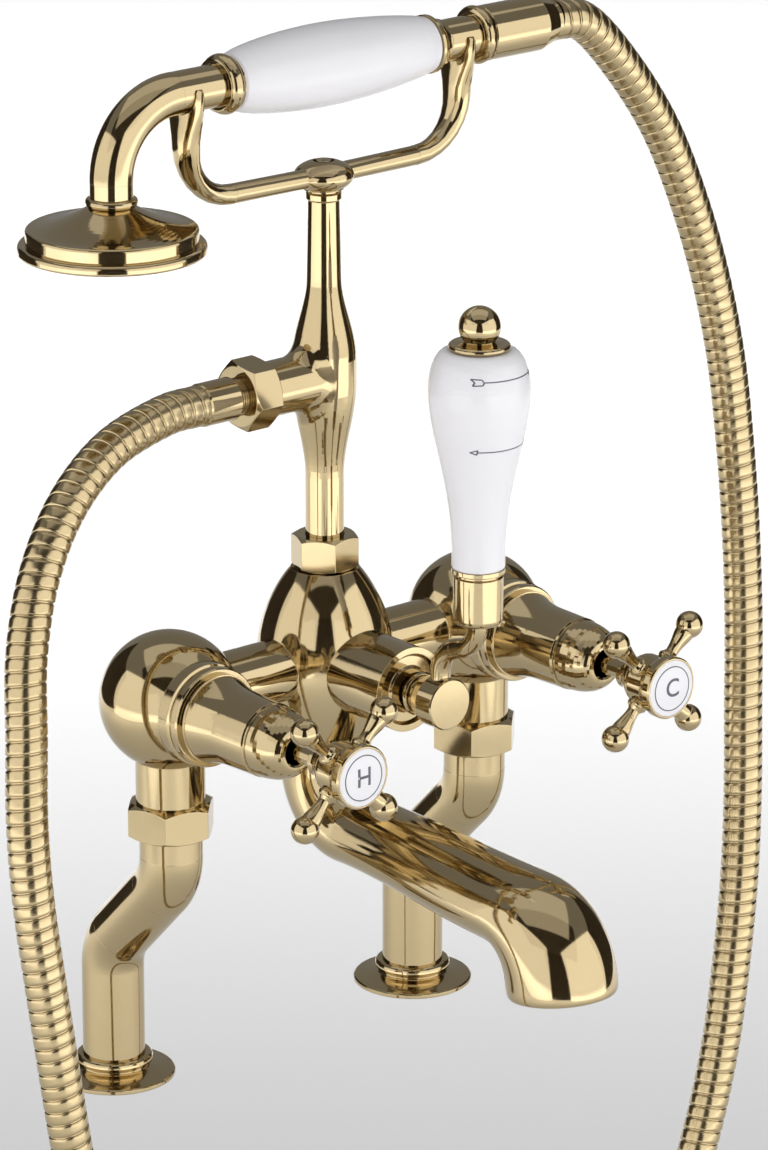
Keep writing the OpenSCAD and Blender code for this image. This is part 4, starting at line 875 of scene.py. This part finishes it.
class MIXER_OT_marks(bpy.types.Operator):
    """Inks a letter and a ring on each index and two arrows on the lever's grip"""

    bl_idname = "mixer.marks"
    bl_label = "Marks"

    def execute(self, context):
        sizes = context.scene.mixer_marks
        for node, letter in INDEX_LETTERS.items():
            self.letter(context, sizes, node, letter)
            self.ring(context, sizes, node)
        for name, (height, way) in ARROWS.items():
            self.arrow(sizes, height, way, name)
        return {"FINISHED"}

    def front_of(self, node):
        """A place just in front of an index's middle."""
        low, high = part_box(node)
        middle = (low + high) / 2
        return Vector((middle.x, low.y - INDEX_CLEAR, middle.z))

    def letter(self, context, sizes, node, letter):
        """One letter in the middle of an index."""
        deselect()
        bpy.ops.object.text_add()
        piece = context.active_object
        piece.name = node + "_letter"
        piece.data.body = letter
        piece.data.align_x = "CENTER"
        piece.data.align_y = "CENTER"
        piece.data.size = sizes.letter * TYPE_TO_LETTER
        piece.data.offset = LETTER_BOLD
        pick(piece)
        bpy.ops.object.convert(target="MESH")
        piece = context.active_object
        piece.rotation_euler = (math.pi / 2, 0, 0)
        piece.location = self.front_of(node)
        apply_place(piece)
        self.inked(piece, node)

    def ring(self, context, sizes, node):
        """A thin ring near the rim of an index."""
        low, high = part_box(node)
        radius = (high.z - low.z) / 2 * RING_SHARE
        deselect()
        bpy.ops.mesh.primitive_circle_add(vertices=RING_SIDES, radius=radius, fill_type="NOTHING",
                                          location=self.front_of(node), rotation=(math.pi / 2, 0, 0))
        piece = context.active_object
        piece.name = node + "_ring"
        apply_place(piece)
        middle = self.front_of(node)
        edit_all(piece)
        bpy.ops.mesh.extrude_region_move()
        bpy.ops.transform.resize(value=((radius - sizes.line) / radius,) * 3, center_override=middle)
        bpy.ops.object.mode_set(mode="OBJECT")
        self.inked(piece, node)

    def arrow(self, sizes, height, way, name):
        """A thin shaft with a pointed head and a notched tail, all in line."""
        low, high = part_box("lever_grip")
        middle = Vector(((low.x + high.x) / 2, low.y - GRIP_CLEAR, height))
        half, thick, faces, points = ARROW_HALF, sizes.line / 2, [], []
        for line in ARROW_LINES:
            for (x0, z0), (x1, z1) in zip(line, line[1:]):
                start, end = Vector((half * x0, 0, z0)), Vector((half * x1, 0, z1))
                along = (end - start).normalized()
                across = Vector((-along.z, 0, along.x)) * thick
                count = math.ceil((end - start).length / ARROW_STEP)
                for i in range(count + 1):
                    spot = start.lerp(end, i / count)
                    for edge in (spot + across, spot - across):
                        points.append(middle + Vector((way * edge.x, 0, edge.z)))
                    if i:
                        k = len(points)
                        faces.append((k - 4, k - 3, k - 1, k - 2))
        self.inked(build_piece(name, points, faces), "lever_grip")

    def inked(self, piece, node):
        """Lays a mark on its piece and inks it."""
        press_on(piece, frame["nodes"][node])
        finish_mesh(piece, ink(), MARK_SMOOTH)
        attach(piece, body_of_node(node))


class MIXER_OT_inner_parts(bpy.types.Operator):
    """Paints the washers, the seals and the brass inside"""

    bl_idname = "mixer.inner_parts"
    bl_label = "Inner parts"

    def execute(self, context):
        tones = context.scene.mixer_finish
        fibre = plain("Washer fibre", tones.fibre, rough=0.8)
        rubber = plain("Seal rubber", tones.rubber, rough=0.6)
        for nodes, material, slot in (
            (INNER_BRASS_NODES, brass(), "polished_brass"),
            (FIBRE_NODES, fibre, "fibre"),
            (RUBBER_NODES, rubber, "seal_rubber"),
        ):
            for node in nodes:
                paint_node(node, material)
        return {"FINISHED"}


class MIXER_PT_panel(bpy.types.Panel):
    bl_idname = "MIXER_PT_panel"
    bl_label = "Bath shower mixer"
    bl_space_type = "VIEW_3D"
    bl_region_type = "UI"
    bl_category = "Mixer"

    def draw(self, context):
        for step in STEPS:
            self.layout.operator(step.bl_idname)
        for name in SETTINGS:
            box = self.layout.box()
            group = getattr(context.scene, name)
            for key in group.bl_rna.properties.keys():
                if key not in {"rna_type", "name"}:
                    box.prop(group, key)


STEPS = [
    MIXER_OT_stage, MIXER_OT_hose, MIXER_OT_brasswork, MIXER_OT_tee_fillet, MIXER_OT_spout, MIXER_OT_cradle,
    MIXER_OT_ceramics, MIXER_OT_marks, MIXER_OT_inner_parts,
]
SETTINGS = {"mixer_finish": MixerFinish, "mixer_hose": MixerHose, "mixer_marks": MixerMarks,
            "mixer_studio": MixerStudio}


def register():
    for cls in (*SETTINGS.values(), *STEPS, MIXER_PT_panel):
        bpy.utils.register_class(cls)
    for name, group in SETTINGS.items():
        setattr(bpy.types.Scene, name, PointerProperty(type=group))


def unregister():
    for name in SETTINGS:
        delattr(bpy.types.Scene, name)
    for cls in reversed((*SETTINGS.values(), *STEPS, MIXER_PT_panel)):
        bpy.utils.unregister_class(cls)


def main():
    register()
    bpy.ops.mixer.stage()
    bpy.ops.mixer.hose()
    bpy.ops.mixer.brasswork()
    bpy.ops.mixer.tee_fillet()
    bpy.ops.mixer.spout()
    bpy.ops.mixer.cradle()
    bpy.ops.mixer.ceramics()
    bpy.ops.mixer.marks()
    bpy.ops.mixer.inner_parts()


if __name__ == "__main__":
    main()
